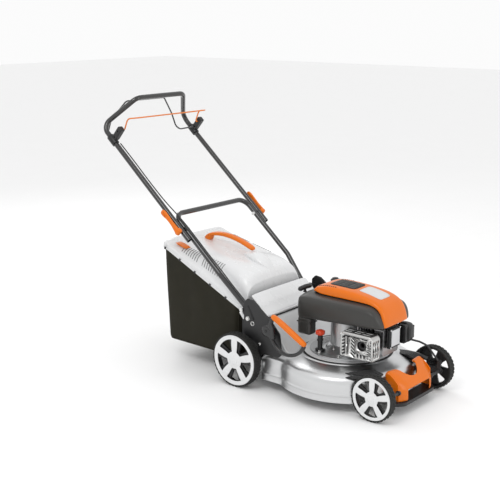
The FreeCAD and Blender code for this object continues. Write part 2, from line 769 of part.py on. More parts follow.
def cross_pin(along, lift, y, length, radius):
    """A pin along Y at a point of the handle's side view."""
    return Part.makeCylinder(radius, length, handle_point(along, y, lift), Vector(0, 1, 0))


BRAKE_PIVOT = (519, 24)
DRIVE_PIVOT = (519, 58)


def control_pod():
    """The right control housing: a clamp round the tube and a box that holds both bails."""
    reach = float(upper_half)
    uphill = handle_point(1, 0) - handle_point(0, 0)
    clamp = Part.makeCylinder(16, 44, handle_point(500, -reach), uphill)
    tube = Part.makeCylinder(float(tube_radius) + 0.1, 60, handle_point(492, -reach), uphill)
    box = tilted_block(519, 45, -reach + 2, 26, 62, 26)
    pod = clamp.fuse(box).cut(tube)
    for along, lift in (BRAKE_PIVOT, DRIVE_PIVOT):
        pod = pod.cut(cross_pin(along, lift, -reach - 20, 60, 3.6))
    return pod


pod = control_pod()
node(shape_feature(Part.makeCompound([pod, pod.mirror(Vector(), Vector(0, 1, 0))])), "control_pods")


def bail(points, radius):
    """A bent wire with both ends turned outward into the control pods."""
    first = points[0] - Vector(0, 24, 0)
    return swept(both_sides([first] + points), radius, 26)


brake_points = [handle_point(BRAKE_PIVOT[0], -222, BRAKE_PIVOT[1]), handle_point(577, -222, -52),
                handle_point(630, -190, 6), handle_point(664, -118, 81)]
drive_points = [handle_point(DRIVE_PIVOT[0], -224, DRIVE_PIVOT[1]), handle_point(536, -224, 112),
                handle_point(500, -218, 152)]
node(shape_feature(bail(brake_points, 3.5)), "brake_bail")
node(shape_feature(bail(drive_points, 3)), "drive_bail")

# ---------------------------------------------------------------- quick-release levers
LEVER_OUT = 275


def clamp_lever():
    """The right cam lever, lying up the handle from its boss."""
    lifted = handle_point(0, 0, 1) - handle_point(0, 0, 0)
    boss = Part.makeCylinder(11, 26, handle_point(0, -LEVER_OUT, -13), lifted)
    arm = tilted_block(58, 0, -LEVER_OUT - 3, 108, 24, 9, 4)
    tip = tilted_block(104, 0, -LEVER_OUT - 1, 26, 26, 13, 5)
    return boss.fuse(arm).fuse(tip)


lever = clamp_lever()
node(shape_feature(lever), "clamp_lever_right")
node(shape_feature(lever.mirror(Vector(), Vector(0, 1, 0))), "clamp_lever_left")
clamp_bolt = fuse(cylinder(4, 46, pivot_x, -260.5, pivot_z, "Y"),
                  cylinder(8, 5, pivot_x, -214.5, pivot_z, "Y"))
node(pair(clamp_bolt), "clamp_bolts")

# ---------------------------------------------------------------- rear flap
flap_x = driving("flap_hinge_x", 92)
flap_z = driving("flap_hinge_height", 293)
FLAP_HALF = 186
node(group(pair(group(*handle_bolts)), across(3, 196, flap_x, flap_z)), "frame_fasteners")
flap = fuse(
    padded([(92, 298), (14, 371), (10, 367), (86, 296)], FLAP_HALF, 0),
    across(7, FLAP_HALF, flap_x, flap_z),
)
node(cut(flap, across(3 + RUNNING, 200, flap_x, flap_z)), "rear_flap")

# ---------------------------------------------------------------- grass bag
bag_y = driving("bag_side_y", 192)
BAG_TOP = [(-540, 462), (-46, 300)]


def bag_line(x):
    """Height of the bag's rim, where the fabric meets the lid."""
    (x1, z1), (x2, z2) = BAG_TOP
    return z1 + (x - x1) * (z2 - z1) / (x2 - x1)


def bag_form(inset, lift):
    """The fabric part's outer form, or with an inset the space inside it, with its top lifted."""
    outline = [(-540 + inset, bag_line(-540) + lift), (-506 + inset, 124 + inset), (-478, 104 + inset),
               (-78 - inset, 82 + inset), (-46 - inset, 160 + inset), (-46 - inset, bag_line(-46) + lift)]
    return padded(outline, bag_y - inset, 0)


fabric = cut(bag_form(0, 0), bag_form(float(bag_wall), 8), block(40, 2 * 160, 108, -70, -160, 176))
node(fabric, "bag_fabric")

# Stations of the lid: x, then the heights of its rim and of its hump above the bag's rim.
LID = [(-541, 24, 48), (-520, 46, 76), (-400, 44, 98), (-300, 40, 118), (-150, 30, 146), (-60, 26, 158),
       (-12, 24, 130)]


def lid_section(x, rim, hump, inset):
    """The lid's outline across the bag: rim height and hump height above the bag's rim."""
    base = bag_line(x) + 0.4 - (2 if inset else 0)
    half = float(bag_y) - inset
    low = bag_line(x) + rim - inset
    high = bag_line(x) + hump - inset
    points = [Vector(0, -half, base), Vector(0, -half, low), Vector(0, -half + 22, low + 0.62 * (high - low)),
              Vector(0, -half + 66, high - 4), Vector(0, half - 66, high - 4),
              Vector(0, half - 22, low + 0.62 * (high - low)), Vector(0, half, low), Vector(0, half, base)]
    points = [spot(x, p.y, p.z) for p in points]
    return Part.makePolygon(points + points[:1])


def lid_solid(inset):
    sections = [lid_section(x, rim, hump, inset) for x, rim, hump in LID]
    if inset:
        sections = [lid_section(x + move, rim, hump, inset)
                    for (x, rim, hump), move in zip(LID, [inset] + [0] * (len(LID) - 2) + [-inset])]
    return Part.makeLoft(sections, True, True)


def socket_form():
    """The raised boss that the grip runs into at the front of the lid."""
    outline = [(-134, 455), (-128, 502), (-86, 503), (-6, 458), (-14, 410)]
    points = [spot(x, -38, z) for x, z in outline]
    return Part.Face(Part.makePolygon(points + points[:1])).extrude(Vector(0, 76, 0))


lid_outer = lid_solid(0).fuse(socket_form())
lid = lid_outer.cut(lid_solid(3))
node(shape_feature(lid), "bag_lid")
grip_outline = [(-402, 509.5), (-376, 534), (-302, 549), (-200, 536), (-134.5, 512), (-134.5, 494),
                (-200, 517), (-302, 530), (-362, 519), (-378, 509.5)]
bag_grip = padded(grip_outline, 15, 0, 3)
node(bag_grip, "bag_handle")

tab = padded([(-396, 500.3), (-348, 491.5), (-348, 494.5), (-396, 503.3)], 11, -163)
node(tab, "level_indicator")

# ---------------------------------------------------------------- control cable
CABLE_RADIUS = 2.5
cable_line = [
    handle_point(496, -232, 4),
    handle_point(400, -236, 9),
    handle_point(280, -237, 8),
    handle_point(160, -236, 9),
    handle_point(80, -233, 16),
    handle_point(10, -228, 18),
    handle_point(-70, -225, 15),
    handle_point(-160, -225, 15.5),
    handle_point(-243, -224, 17),
    spot(-46, -213, 388),
    spot(6, -209, 343),
]
cable = swept(cable_line, CABLE_RADIUS, 200)
node(shape_feature(cable), "control_cable")

# ---------------------------------------------------------------- checks and files
doc.recompute()
for thing in doc.Objects:
    if "Invalid" in thing.State or "Error" in thing.State:
        raise RuntimeError("%s failed" % thing.Label)
for thing in parts:
    if thing.Shape.isNull() or not thing.Shape.isValid():
        raise RuntimeError("%s has no valid shape" % thing.Label)
os.makedirs("parts", exist_ok=True)
for thing in parts:
    thing.Shape.exportStep("parts/%s.step" % thing.Label)
print("%d parts written" % len(parts))
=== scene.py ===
"""Visual model of a petrol walk-behind lawn mower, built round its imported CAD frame."""
import json
import math

import bmesh
import bpy
from mathutils import Matrix, Vector, noise
from mathutils.bvhtree import BVHTree

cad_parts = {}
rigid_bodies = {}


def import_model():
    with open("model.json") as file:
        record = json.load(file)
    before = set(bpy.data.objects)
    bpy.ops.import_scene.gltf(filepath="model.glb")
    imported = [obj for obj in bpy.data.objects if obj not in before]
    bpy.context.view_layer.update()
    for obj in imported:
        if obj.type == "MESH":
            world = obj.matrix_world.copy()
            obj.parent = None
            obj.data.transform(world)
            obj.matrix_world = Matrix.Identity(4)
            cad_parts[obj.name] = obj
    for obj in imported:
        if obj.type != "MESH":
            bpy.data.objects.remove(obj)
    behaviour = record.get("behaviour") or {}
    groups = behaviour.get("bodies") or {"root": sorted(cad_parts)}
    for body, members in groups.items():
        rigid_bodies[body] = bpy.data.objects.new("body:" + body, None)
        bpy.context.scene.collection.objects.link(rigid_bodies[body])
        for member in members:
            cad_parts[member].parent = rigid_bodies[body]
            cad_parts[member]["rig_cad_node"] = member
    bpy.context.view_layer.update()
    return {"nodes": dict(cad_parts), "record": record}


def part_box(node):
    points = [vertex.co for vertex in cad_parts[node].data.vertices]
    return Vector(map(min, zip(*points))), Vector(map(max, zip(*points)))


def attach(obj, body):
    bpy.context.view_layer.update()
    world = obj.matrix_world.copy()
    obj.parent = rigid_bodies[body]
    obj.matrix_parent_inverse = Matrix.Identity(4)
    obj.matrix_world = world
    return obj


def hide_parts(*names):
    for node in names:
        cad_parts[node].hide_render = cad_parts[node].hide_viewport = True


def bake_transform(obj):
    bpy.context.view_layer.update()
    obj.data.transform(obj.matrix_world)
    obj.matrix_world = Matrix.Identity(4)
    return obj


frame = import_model()

MM = 0.001
SLOPE = math.radians(41)
scene = bpy.context.scene
scene.view_settings.view_transform = "Standard"

low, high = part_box("tyre_rear_right")
AXLE_X = (low.x + high.x) / 2
REAR_RADIUS = (high.z - low.z) / 2 / MM
low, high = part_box("tyre_front_right")
WHEELBASE = ((low.x + high.x) / 2 - AXLE_X) / MM
FRONT_RADIUS = (high.z - low.z) / 2 / MM


def at(x, y, z):
    """A point of the row frame from millimetres measured from below the rear axle."""
    return Vector((AXLE_X + x * MM, y * MM, z * MM))


def along_handle(along, y, lift=0.0):
    """A point of the handle's side view: so far up its slope from the fold, and above the tube."""
    return (-301 - along * math.cos(SLOPE) + lift * math.sin(SLOPE), y,
        601 + along * math.sin(SLOPE) + lift * math.cos(SLOPE))


def smooth_step(value, start, end):
    """0 before start, 1 after end, and smooth in between."""
    t = min(1.0, max(0.0, (value - start) / (end - start)))
    return t * t * (3 - 2 * t)


def mix(a, b, t):
    return a + (b - a) * t


def between(table, value):
    """Linear interpolation in rows of numbers sorted by their first one."""
    if value <= table[0][0]:
        return table[0][1:]
    for first, second in zip(table, table[1:]):
        if value <= second[0]:
            t = (value - first[0]) / (second[0] - first[0])
            return [mix(a, b, t) for a, b in zip(first[1:], second[1:])]
    return table[-1][1:]


# --- camera, light and floor
CAMERA_PLACE = (2.5346, -3.212, 1.499)
CAMERA_TARGET = (-0.0793, 0.0, 0.4937)
camera = bpy.data.objects.new("camera", bpy.data.cameras.new("camera"))
scene.collection.objects.link(camera)
camera.location = CAMERA_PLACE
camera.rotation_euler = (Vector(CAMERA_TARGET) - Vector(CAMERA_PLACE)).to_track_quat("-Z", "Y").to_euler()
camera.data.sensor_width = 36
camera.data.lens = 72.7
camera.data.shift_x = -0.0133
camera.data.shift_y = 0.0037
camera.data.clip_end = 100
scene.camera = camera


def area_light(name, place, aim, size, power):
    light = bpy.data.objects.new(name, bpy.data.lights.new(name, "AREA"))
    light.data.shape = "RECTANGLE"
    light.data.size, light.data.size_y = size
    light.data.energy = power
    light.location = place
    light.rotation_euler = (Vector(aim) - Vector(place)).to_track_quat("-Z", "Y").to_euler()
    scene.collection.objects.link(light)


area_light("key", (0.6, -2.6, 3.4), (0.1, 0, 0.3), (1.6, 1.2), 34)
area_light("rim", (-2.8, 1.6, 2.6), (0, 0, 0.4), (1.2, 2.0), 18)
area_light("front", (3.4, 0.6, 1.5), (0.3, 0, 0.3), (0.7, 1.6), 12)


# --- node materials
def add(tree, kind, settings=(), **values):
    """A shader node with its settings, and values for its inputs by name."""
    made = tree.nodes.new(kind)
    for key, value in dict(settings).items():
        setattr(made, key, value)
    for key, value in values.items():
        made.inputs[key.replace("_", " ")].default_value = value
    return made


def colour(values, factor=1.0):
    return (*(min(1.0, c * factor) for c in values), 1.0)


def shader(name, metallic=0.0, coat=0.0, sheen=0.0, specular=0.5):
    """An empty node material with a Principled shader, and its object coordinates."""
    material = bpy.data.materials.new(name)
    material.use_nodes = True
    tree = material.node_tree
    surface = tree.nodes["Principled BSDF"]
    surface.inputs["Metallic"].default_value = metallic
    surface.inputs["Coat Weight"].default_value = coat
    surface.inputs["Coat Roughness"].default_value = 0.08
    surface.inputs["Sheen Weight"].default_value = sheen
    surface.inputs["Specular IOR Level"].default_value = specular
    place = add(tree, "ShaderNodeTexCoord")
    return material, tree, surface, place.outputs["Object"]


def connect_tone(tree, surface, tone, values, spread, rough, rough_spread):
    """Colour and roughness that wander with a tone from 0 to 1."""
    ramp = add(tree, "ShaderNodeMix", {"data_type": "RGBA"})
    ramp.inputs[6].default_value = colour(values, 1 - spread)
    ramp.inputs[7].default_value = colour(values, 1 + spread)
    tree.links.new(tone, ramp.inputs[0])
    tree.links.new(ramp.outputs[2], surface.inputs["Base Color"])
    shine = add(tree, "ShaderNodeMapRange", To_Min=rough - rough_spread, To_Max=rough + rough_spread)
    tree.links.new(tone, shine.inputs["Value"])
    tree.links.new(shine.outputs[0], surface.inputs["Roughness"])


def connect_bump(tree, surface, height, distance, strength=0.6):
    bump = add(tree, "ShaderNodeBump", Distance=distance, Strength=strength)
    tree.links.new(height, bump.inputs["Height"])
    tree.links.new(bump.outputs[0], surface.inputs["Normal"])


def finish(name, values, rough, grain=700.0, bump=0.0002, spread=0.08, wander=14.0, stretch=(1, 1, 1),
        rough_spread=0.05, **surface_values):
    """A plastic, painted, cast or rubber surface: fine grain in relief, and broad changes of tone."""
    material, tree, surface, place = shader(name, **surface_values)
    scaled = add(tree, "ShaderNodeMapping", Scale=stretch)
    tree.links.new(place, scaled.inputs["Vector"])
    fine = add(tree, "ShaderNodeTexNoise", Scale=grain, Detail=2.0)
    broad = add(tree, "ShaderNodeTexNoise", Scale=wander, Detail=4.0, Roughness=0.6)
    tree.links.new(scaled.outputs[0], fine.inputs["Vector"])
    tree.links.new(place, broad.inputs["Vector"])
    connect_tone(tree, surface, broad.outputs["Fac"], values, spread, rough, rough_spread)
    connect_bump(tree, surface, fine.outputs["Fac"], bump)
    return material


def maths(tree, operation, *inputs, vector=False):
    """The output of a math node, from numbers, vectors and sockets."""
    made = add(tree, "ShaderNodeVectorMath" if vector else "ShaderNodeMath", {"operation": operation})
    for socket, value in zip(made.inputs, inputs):
        if isinstance(value, bpy.types.NodeSocket):
            tree.links.new(value, socket)
        else:
            socket.default_value = value
    return made.outputs["Vector" if vector and operation != "LENGTH" else "Value"]


def ringed_metal(name, values, rough, centre, grain, bump):
    """Polished sheet metal with fine marks that run in circles round an upright axis."""
    material, tree, surface, place = shader(name, metallic=1.0)
    shifted = maths(tree, "SUBTRACT", place, centre, vector=True)
    flat = maths(tree, "MULTIPLY", shifted, (1, 1, 0), vector=True)
    parts = add(tree, "ShaderNodeSeparateXYZ")
    joined = add(tree, "ShaderNodeCombineXYZ")
    marks = add(tree, "ShaderNodeTexNoise", Scale=grain, Detail=3.0, Roughness=0.7)
    broad = add(tree, "ShaderNodeTexNoise", Scale=7.0, Detail=3.0)
    tree.links.new(shifted, parts.inputs[0])
    tree.links.new(maths(tree, "LENGTH", flat, vector=True), joined.inputs["X"])
    tree.links.new(parts.outputs["Z"], joined.inputs["Y"])
    tree.links.new(joined.outputs[0], marks.inputs["Vector"])
    tree.links.new(place, broad.inputs["Vector"])
    connect_tone(tree, surface, broad.outputs["Fac"], values, 0.06, rough, 0.06)
    connect_bump(tree, surface, marks.outputs["Fac"], bump, 0.35)
    return material


def woven(name, values, rib_scale, cross_scale):
    """Coarse bag cloth: upright ribs crossed by finer threads."""
    material, tree, surface, place = shader(name, sheen=0.04, specular=0.12)
    parts = add(tree, "ShaderNodeSeparateXYZ")
    tree.links.new(place, parts.inputs[0])
    across = maths(tree, "ADD", parts.outputs["X"], parts.outputs["Y"])
    ribs, threads = (maths(tree, "SINE", maths(tree, "MULTIPLY", source, scale)) for source,
        scale in ((across, rib_scale), (parts.outputs["Z"], cross_scale)))
    weave = maths(tree, "MULTIPLY_ADD", threads, 0.35, ribs)
    broad = add(tree, "ShaderNodeTexNoise", Scale=22.0, Detail=5.0, Roughness=0.65)
    tree.links.new(place, broad.inputs["Vector"])
    dusty = maths(tree, "MULTIPLY_ADD", weave, 0.16, broad.outputs["Fac"])
    dusty.node.use_clamp = True
    connect_tone(tree, surface, dusty, values, 0.3, 0.85, 0.05)
    connect_bump(tree, surface, weave, 0.0006, 0.7)
    return material


DECK_CENTRE = tuple(at(360, 0, 0))
LOOKS = {
    "black_plastic": finish("moulded_black", (0.0085, 0.0085, 0.009), 0.4, 900, 0.00025, 0.15),
    "gloss_black": finish("gloss_black", (0.007, 0.007, 0.0075), 0.18, 300, 0.00008, 0.1, coat=0.3),
    "tyre_rubber": finish("rubber", (0.013, 0.013, 0.012), 0.72, 500, 0.0004, 0.25, 30),
    "white_plastic": finish("white_gloss", (0.7, 0.705, 0.71), 0.27, 420, 0.00004, 0.02, 9, coat=0.25),
    "orange_plastic": finish("orange_gloss", (0.7, 0.15, 0.001), 0.3, 420, 0.00005, 0.05, 9, coat=0.08,
                             specular=0.3),
    "red_plastic": finish("red_cap", (0.62, 0.05, 0.012), 0.35, 500, 0.0001, 0.08),
    "bag_cloth": woven("bag_cloth", (0.022, 0.02, 0.0125), 2600.0, 4200.0),
    "handle_paint": finish("tube_paint", (0.012, 0.0115, 0.0115), 0.24, 260, 0.0001, 0.14, 25, coat=0.6),
    "orange_wire": finish("orange_wire", (0.68, 0.17, 0.01), 0.3, 260, 0.0001, 0.08, 25, coat=0.1),
    "cable_sheath": finish("cable_sheath", (0.015, 0.015, 0.015), 0.5, 900, 0.0001, 0.15),
    "grey_plastic": finish("tank_grey", (0.03, 0.029, 0.0265), 0.36, 650, 0.00022, 0.1),
    "cast_aluminium": finish("cast_metal", (0.5, 0.505, 0.51), 0.36, 320, 0.0006, 0.12, 18,
                             metallic=1.0, rough_spread=0.08),
    "pressed_steel": finish("pressed_metal", (0.56, 0.56, 0.55), 0.28, 260, 0.00015, 0.08, 20,
                            stretch=(0.2, 1, 1), metallic=1.0),
    "dark_steel": finish("dark_metal", (0.05, 0.05, 0.052), 0.45, 400, 0.0003, 0.2, 25, metallic=0.4),
    "bright_steel": finish("zinc_metal", (0.72, 0.72, 0.71), 0.26, 500, 0.0001, 0.1, 40, metallic=1.0),
    "deck_steel": ringed_metal("polished_deck", (0.64, 0.645, 0.65), 0.3, DECK_CENTRE, 260.0, 0.0002),
    "satin_sheet": finish("satin_sheet", (0.66, 0.665, 0.67), 0.5, 260, 0.00015, 0.05, 8, metallic=0.35),
    "pale_panel": finish("pale_panel", (0.6, 0.61, 0.62), 0.4, 500, 0.0001, 0.05),
    # gasket: a near-black matte look used to paint shade: the groove round the engine seat, the crease under the
    # flap hinge, and the slots in the engine cover and side plates.
    "gasket": finish("gasket", (0.008, 0.008, 0.008), 0.7, 500, 0.0003, 0.2),
}


def dress(obj, slot, look=None):
    """A piece's material, and the record's slot that it comes from."""
    obj.data.materials.clear()
    obj.data.materials.append(LOOKS[look or slot])
    return obj if "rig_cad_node" not in obj else obj


for entry in frame["record"]["subparts"]:
    dress(frame["nodes"][entry["node"]], entry["material_slot"])


# --- mesh tools
def mesh(name, points, faces):
    """A smooth-shaded object from millimetre points and faces, its faces turned outward."""
    data = bpy.data.meshes.new(name)
    data.from_pydata([at(*p) for p in points], [], faces)
    shape = bmesh.new()
    shape.from_mesh(data)
    bmesh.ops.recalc_face_normals(shape, faces=shape.faces)
    shape.to_mesh(data)
    shape.free()
    data.polygons.foreach_set("use_smooth", [True] * len(data.polygons))
    obj = bpy.data.objects.new(name, data)
    scene.collection.objects.link(obj)
    return obj


def grid(name, rows, around=False, ends=False):
    """A surface through rows of points; around closes each row, and ends fills the first and last."""
    count = len(rows[0])
    points = [p for row in rows for p in row]
    faces = []
    for i in range(len(rows) - 1):
        for j in range(count if around else count - 1):
            k = (j + 1) % count
            faces.append((i * count + j, i * count + k, (i + 1) * count + k, (i + 1) * count + j))
    if ends:
        faces.append(tuple(range(count))[::-1])
        faces.append(tuple(range((len(rows) - 1) * count, len(rows) * count)))
    return mesh(name, points, faces)


def modify(obj, kind, **settings):
    modifier = obj.modifiers.new(kind.lower(), kind)
    for key, value in settings.items():
        setattr(modifier, key, value)
    return obj


def rounded(obj, width, segments=3, angle=35):
    """Rounds an object's sharp edges, and keeps its flat faces flat."""
    modify(obj, "BEVEL", width=width * MM, segments=segments, limit_method="ANGLE",
        angle_limit=math.radians(angle), harden_normals=False)
    return modify(obj, "WEIGHTED_NORMAL", keep_sharp=False)


def subdivided(obj, levels=2):
    return modify(obj, "SUBSURF", levels=levels, render_levels=levels)


def thick(obj, depth, offset=-1.0):
    return modify(obj, "SOLIDIFY", thickness=depth * MM, offset=offset)


def face_up(obj, face):
    """Turns a sheet's faces over if the one with this number looks down."""
    if obj.data.polygons[face].normal.z < 0:
        obj.data.flip_normals()


def turned(obj, centre, degrees, axis):
    """The object, its mesh turned about an axis through a point."""
    turn = Matrix.Rotation(math.radians(degrees), 4, axis)
    obj.data.transform(Matrix.Translation(at(*centre)) @ turn @ Matrix.Translation(-at(*centre)))
    return obj


def lathe(name, profile, origin, axis, steps=48):
    """A turned piece: radius and distance along an axis from an origin, in millimetres."""
    turn = Vector(axis).to_track_quat("Z", "Y").to_matrix()
    rows = []
    for radius, along in profile:
        ring = []
        for i in range(steps):
            angle = math.tau * i / steps
            ring.append(tuple(Vector(origin) + turn @ Vector((max(radius, 0.01) * math.cos(angle),
                max(radius, 0.01) * math.sin(angle), along))))
        rows.append(ring)
    return grid(name, rows, around=True, ends=True)


def prism(name, outline, y_from, y_to, round_by, segments=3):
    """A side-view outline carried from one y to another, its edges rounded."""
    rows = [[(x, y, z) for x, z in outline] for y in (y_from, y_to)]
    return rounded(grid(name, rows, around=True, ends=True), round_by, segments)


def block(name, low, high, round_by, turn=0.0, segments=2):
    """A rounded block between two corners, turned about Y through its middle by degrees."""
    middle = [(a + b) / 2 for a, b in zip(low, high)]
    spin = Matrix.Rotation(math.radians(turn), 3, "Y")
    rows = []
    for z in (low[2], high[2]):
        row = [(low[0], low[1], z), (high[0], low[1], z), (high[0], high[1], z), (low[0], high[1], z)]
        rows.append([tuple(Vector(middle) + spin @ (Vector(p) - Vector(middle))) for p in row])
    return rounded(grid(name, rows, around=True, ends=True), round_by, segments)


def section_loft(name, path, sections, steps=20, power=2.0):
    """A solid along a path, with (half width, half height) sections square to it; power squares them."""
    rows = []
    for i, (centre, (wide, tall)) in enumerate(zip(path, sections)):
        ahead = Vector(path[min(i + 1, len(path) - 1)]) - Vector(path[max(i - 1, 0)])
        ahead.normalize()
        side = Vector((0, 1, 0))
        if abs(ahead.dot(side)) > 0.9:
            side = Vector((1, 0, 0))
        up = ahead.cross(side).normalized()
        side = up.cross(ahead).normalized()
        ring = []
        for j in range(steps):
            angle = math.tau * j / steps
            c, s = math.cos(angle), math.sin(angle)
            u = math.copysign(abs(c) ** (2 / power), c) * wide
            v = math.copysign(abs(s) ** (2 / power), s) * tall
            ring.append(tuple(Vector(centre) + side * u + up * v))
        rows.append(ring)
    return grid(name, rows, around=True, ends=True)


def final_mesh(obj):
    """An object's mesh with its modifiers applied, as a new bmesh-ready mesh."""
    graph = bpy.context.evaluated_depsgraph_get()
    return bpy.data.meshes.new_from_object(obj.evaluated_get(graph))


def merged(name, parts):
    """Several small objects as one piece, their modifiers applied."""
    bpy.context.view_layer.update()
    joined = bmesh.new()
    for part in parts:
        data = final_mesh(part)
        data.transform(part.matrix_world)
        joined.from_mesh(data)
        bpy.data.meshes.remove(data)
        bpy.data.objects.remove(part)
    data = bpy.data.meshes.new(name)
    joined.to_mesh(data)
    joined.free()
    obj = bpy.data.objects.new(name, data)
    scene.collection.objects.link(obj)
    return obj


def wire(name, points, radius, smooth=True):
    """A round wire along points in millimetres."""
    data = bpy.data.curves.new(name, "CURVE")
    data.dimensions = "3D"
    spline = data.splines.new("NURBS" if smooth else "POLY")
    spline.points.add(len(points) - 1)
    for point, place in zip(spline.points, points):
        point.co = (*at(*place), 1.0)
    if smooth:
        spline.order_u = 3
        spline.use_endpoint_u = True
        spline.resolution_u = 12
    data.bevel_depth = radius * MM
    data.bevel_resolution = 5
    data.use_fill_caps = True
    obj = bpy.data.objects.new(name, data)
    scene.collection.objects.link(obj)
    return obj


def keep(obj, slot, body="chassis", look=None, replaces=()):
    """Gives a piece the material of its slot or look, puts it on the body that it rides on, and hides the CAD
    nodes it stands for.
    """
    dress(obj, slot, look)
    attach(obj, body)
    if replaces:
        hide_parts(*replaces)
    return obj


def soften(node, width):
    """Rounds a carried-over CAD node's sharp edges a little, so that they catch the light."""
    obj = frame["nodes"][node]
    modify(obj, "WELD", merge_threshold=0.00002)
    modify(obj, "BEVEL", width=width * MM, segments=2, limit_method="ANGLE", angle_limit=math.radians(40))
    return obj


def bolt(name, place, axis, size, height):
    """A hexagon bolt head on a washer."""
    washer = lathe(name + "_washer", [(0, 0), (size * 0.95, 0), (size, 0.4), (size, 1.0), (size * 0.9, 1.4),
        (0, 1.4)], place, axis, 20)
    head = lathe(name, [(size * 0.62, 0), (size * 0.72, 1.2), (size * 0.72, height - 1), (size * 0.6, height),
        (0, height)], place, axis, 6)
    for polygon in head.data.polygons:
        polygon.use_smooth = False
    return merged(name, [washer, head])


# --- wheels
SPOKES = 5
TYRE_DEPTH = 7


def wheel_point(spec, reach, angle, out):
    """A point of a wheel from its radius, its angle and its distance outward from its middle plane."""
    x, side, radius, track = spec
    return (x + reach * math.cos(angle), side * (track + out), radius - side * reach * math.sin(angle))


def window_half(reach):
    """Half the angle that a spoke window takes, in radians, from its distance from the hub."""
    return math.radians(mix(17.0, 26.0, (reach - 0.32) / (0.78 - 0.32)))


def wheel_cover(name, spec, half):
    """The white cover: a raised hub, five spokes with a crown, windows and a rim."""
    radius = spec[2]
    seat = (radius - TYRE_DEPTH) / radius
    edge = 1 / radius
    profile = [(0.03, 0.9), (0.13, 0.9), (0.2, 0.6), (0.235, -0.3), (0.28, -1.6), (0.32, -1.9), (0.38, -1.7),
        (0.54, -1.2), (0.66, -1.2), (0.74, -1.5), (0.78, -1.6), (0.81, -1.5), (seat - 9 * edge, -1.3),
        (seat - 6 * edge, -0.2), (seat - 2 * edge, 0.0), (seat - 0.6 * edge, -0.6), (seat - 0.5 * edge, -3.4)]
    first, last = 5, 10
    rows = []
    for reach, out in profile:
        row = []
        for sector in range(SPOKES):
            middle = math.radians(72 * sector + 54 - 1)
            half_angle = window_half(min(0.78, max(0.32, reach)))
            rest = math.radians(72) - 2 * half_angle
            steps = [-half_angle, -half_angle * 0.5, 0, half_angle * 0.5]
            steps += [half_angle + rest * t for t in (0, 0.22, 0.5, 0.78)]
            for k, step in enumerate(steps):
                crown = {4: 0.0, 5: 0.8, 6: 1.3, 7: 0.8}.get(k, 0.0) if 0.3 < reach < 0.79 else 0.0
                row.append(wheel_point(spec, reach * radius, middle + step, half + out + crown))
        rows.append(row)
    count = len(rows[0])
    points = [p for row in rows for p in row]
    faces = []
    for i in range(len(rows) - 1):
        for j in range(count):
            if first <= i < last and j % 8 < 4:
                continue
            k = (j + 1) % count
            faces.append((i * count + j, i * count + k, (i + 1) * count + k, (i + 1) * count + j))
    faces.append(tuple(range(count)))
    cover = mesh(name, points, faces)
    outward = Vector((0, spec[1], 0))
    if cover.data.polygons[-1].normal.dot(outward) < 0:
        cover.data.flip_normals()
    thick(cover, 2.6)
    return subdivided(cover, 2)


def tyre(name, spec, half, blocks):
    """A tyre with a rounded carcass and three rows of tread blocks."""
    radius = spec[2]
    seat = radius - TYRE_DEPTH
    carcass = [(seat + 0.2, -half + 0.5), (radius - 4.5, -half + 0.2), (radius - 2.6, -half + 2.2),
        (radius - 2.2, -half + 6), (radius - 2.2, half - 6), (radius - 2.6, half - 2.2),
        (radius - 4.5, half - 0.2), (seat + 0.2, half - 0.5), (seat + 0.1, half - 3), (seat + 0.1, 3 - half)]
    rows = [[wheel_point(spec, reach, math.tau * i / 96, out) for i in range(96)] for reach, out in carcass]
    rows.append(rows[0])
    body = grid(name + "_carcass", rows, around=True)
    points, faces = [], []
    layout = [(-half + 0.4, -half * 0.36, 0.0), (-half * 0.27, half * 0.27, 0.5),
        (half * 0.36, half - 0.4, 0.0)]
    pitch = math.tau / blocks
    for out_a, out_b, shift in layout:
        for i in range(blocks):
            start = pitch * (i + shift + 0.16)
            end = pitch * (i + shift + 0.84)
            slant = 0.12 * pitch
            base = len(points)
            for reach, inset in ((radius - 3.4, 0.0), (radius, 1.0)):
                ease = inset / radius
                for out, lean in ((out_a + inset, -slant), (out_b - inset, slant)):
                    drop = 1.2 if inset and abs(out) > half * 0.7 else 0.0
                    points.append(wheel_point(spec, reach - drop, start + ease + lean, out))
                    points.append(wheel_point(spec, reach - drop, end - ease + lean, out))
            a, b, c, d, e, f, g, h = range(base, base + 8)
            faces += [(a, b, f, e), (b, d, h, f), (d, c, g, h), (c, a, e, g), (e, f, h, g), (a, c, d, b)]
    tread = mesh(name + "_tread", points, faces)
    for polygon in tread.data.polygons:
        polygon.use_smooth = False
    return merged(name, [body, tread])


def hub_cap(name, spec, half):
    """The small round cap in the middle of a wheel, with a ring groove."""
    radius = spec[2]
    size = 0.15 * radius
    origin = wheel_point(spec, 0, 0, half)
    profile = [(size * 1.05, 0.2), (size * 1.05, 1.2), (size * 0.92, 1.9), (size * 0.62, 2.15),
        (size * 0.56, 1.6), (size * 0.48, 1.6), (size * 0.42, 2.15), (0, 2.2)]
    return lathe(name, profile, origin, (0, spec[1], 0), 40)


for end, x, radius, width, track, blocks in (("rear", 0, REAR_RADIUS, 40, 261, 40),
        ("front", WHEELBASE, FRONT_RADIUS, 34, 221, 34)):
    for side, hand in ((-1, "right"), (1, "left")):
        corner = f"{end}_{hand}"
        spec = (x, side, radius, track)
        body = "wheel_" + corner
        keep(tyre("tread_tyre_" + corner, spec, width / 2, blocks), "tyre_rubber", body=body,
            replaces=["tyre_" + corner])
        keep(wheel_cover("spoked_cover_" + corner, spec, width / 2), "white_plastic", body=body,
            replaces=["wheel_cover_" + corner])
        keep(hub_cap("hub_cap_" + corner, spec, width / 2), "white_plastic", body=body)

# --- grass bag
BAG_SIDE = 192
RIM_REAR, RIM_FRONT = (-470, 500), (-46, 300)


def bag_rim(x):
    """Height of the line where the cloth meets the lid."""
    return mix(RIM_REAR[1], RIM_FRONT[1], (x - RIM_REAR[0]) / (RIM_FRONT[0] - RIM_REAR[0]))


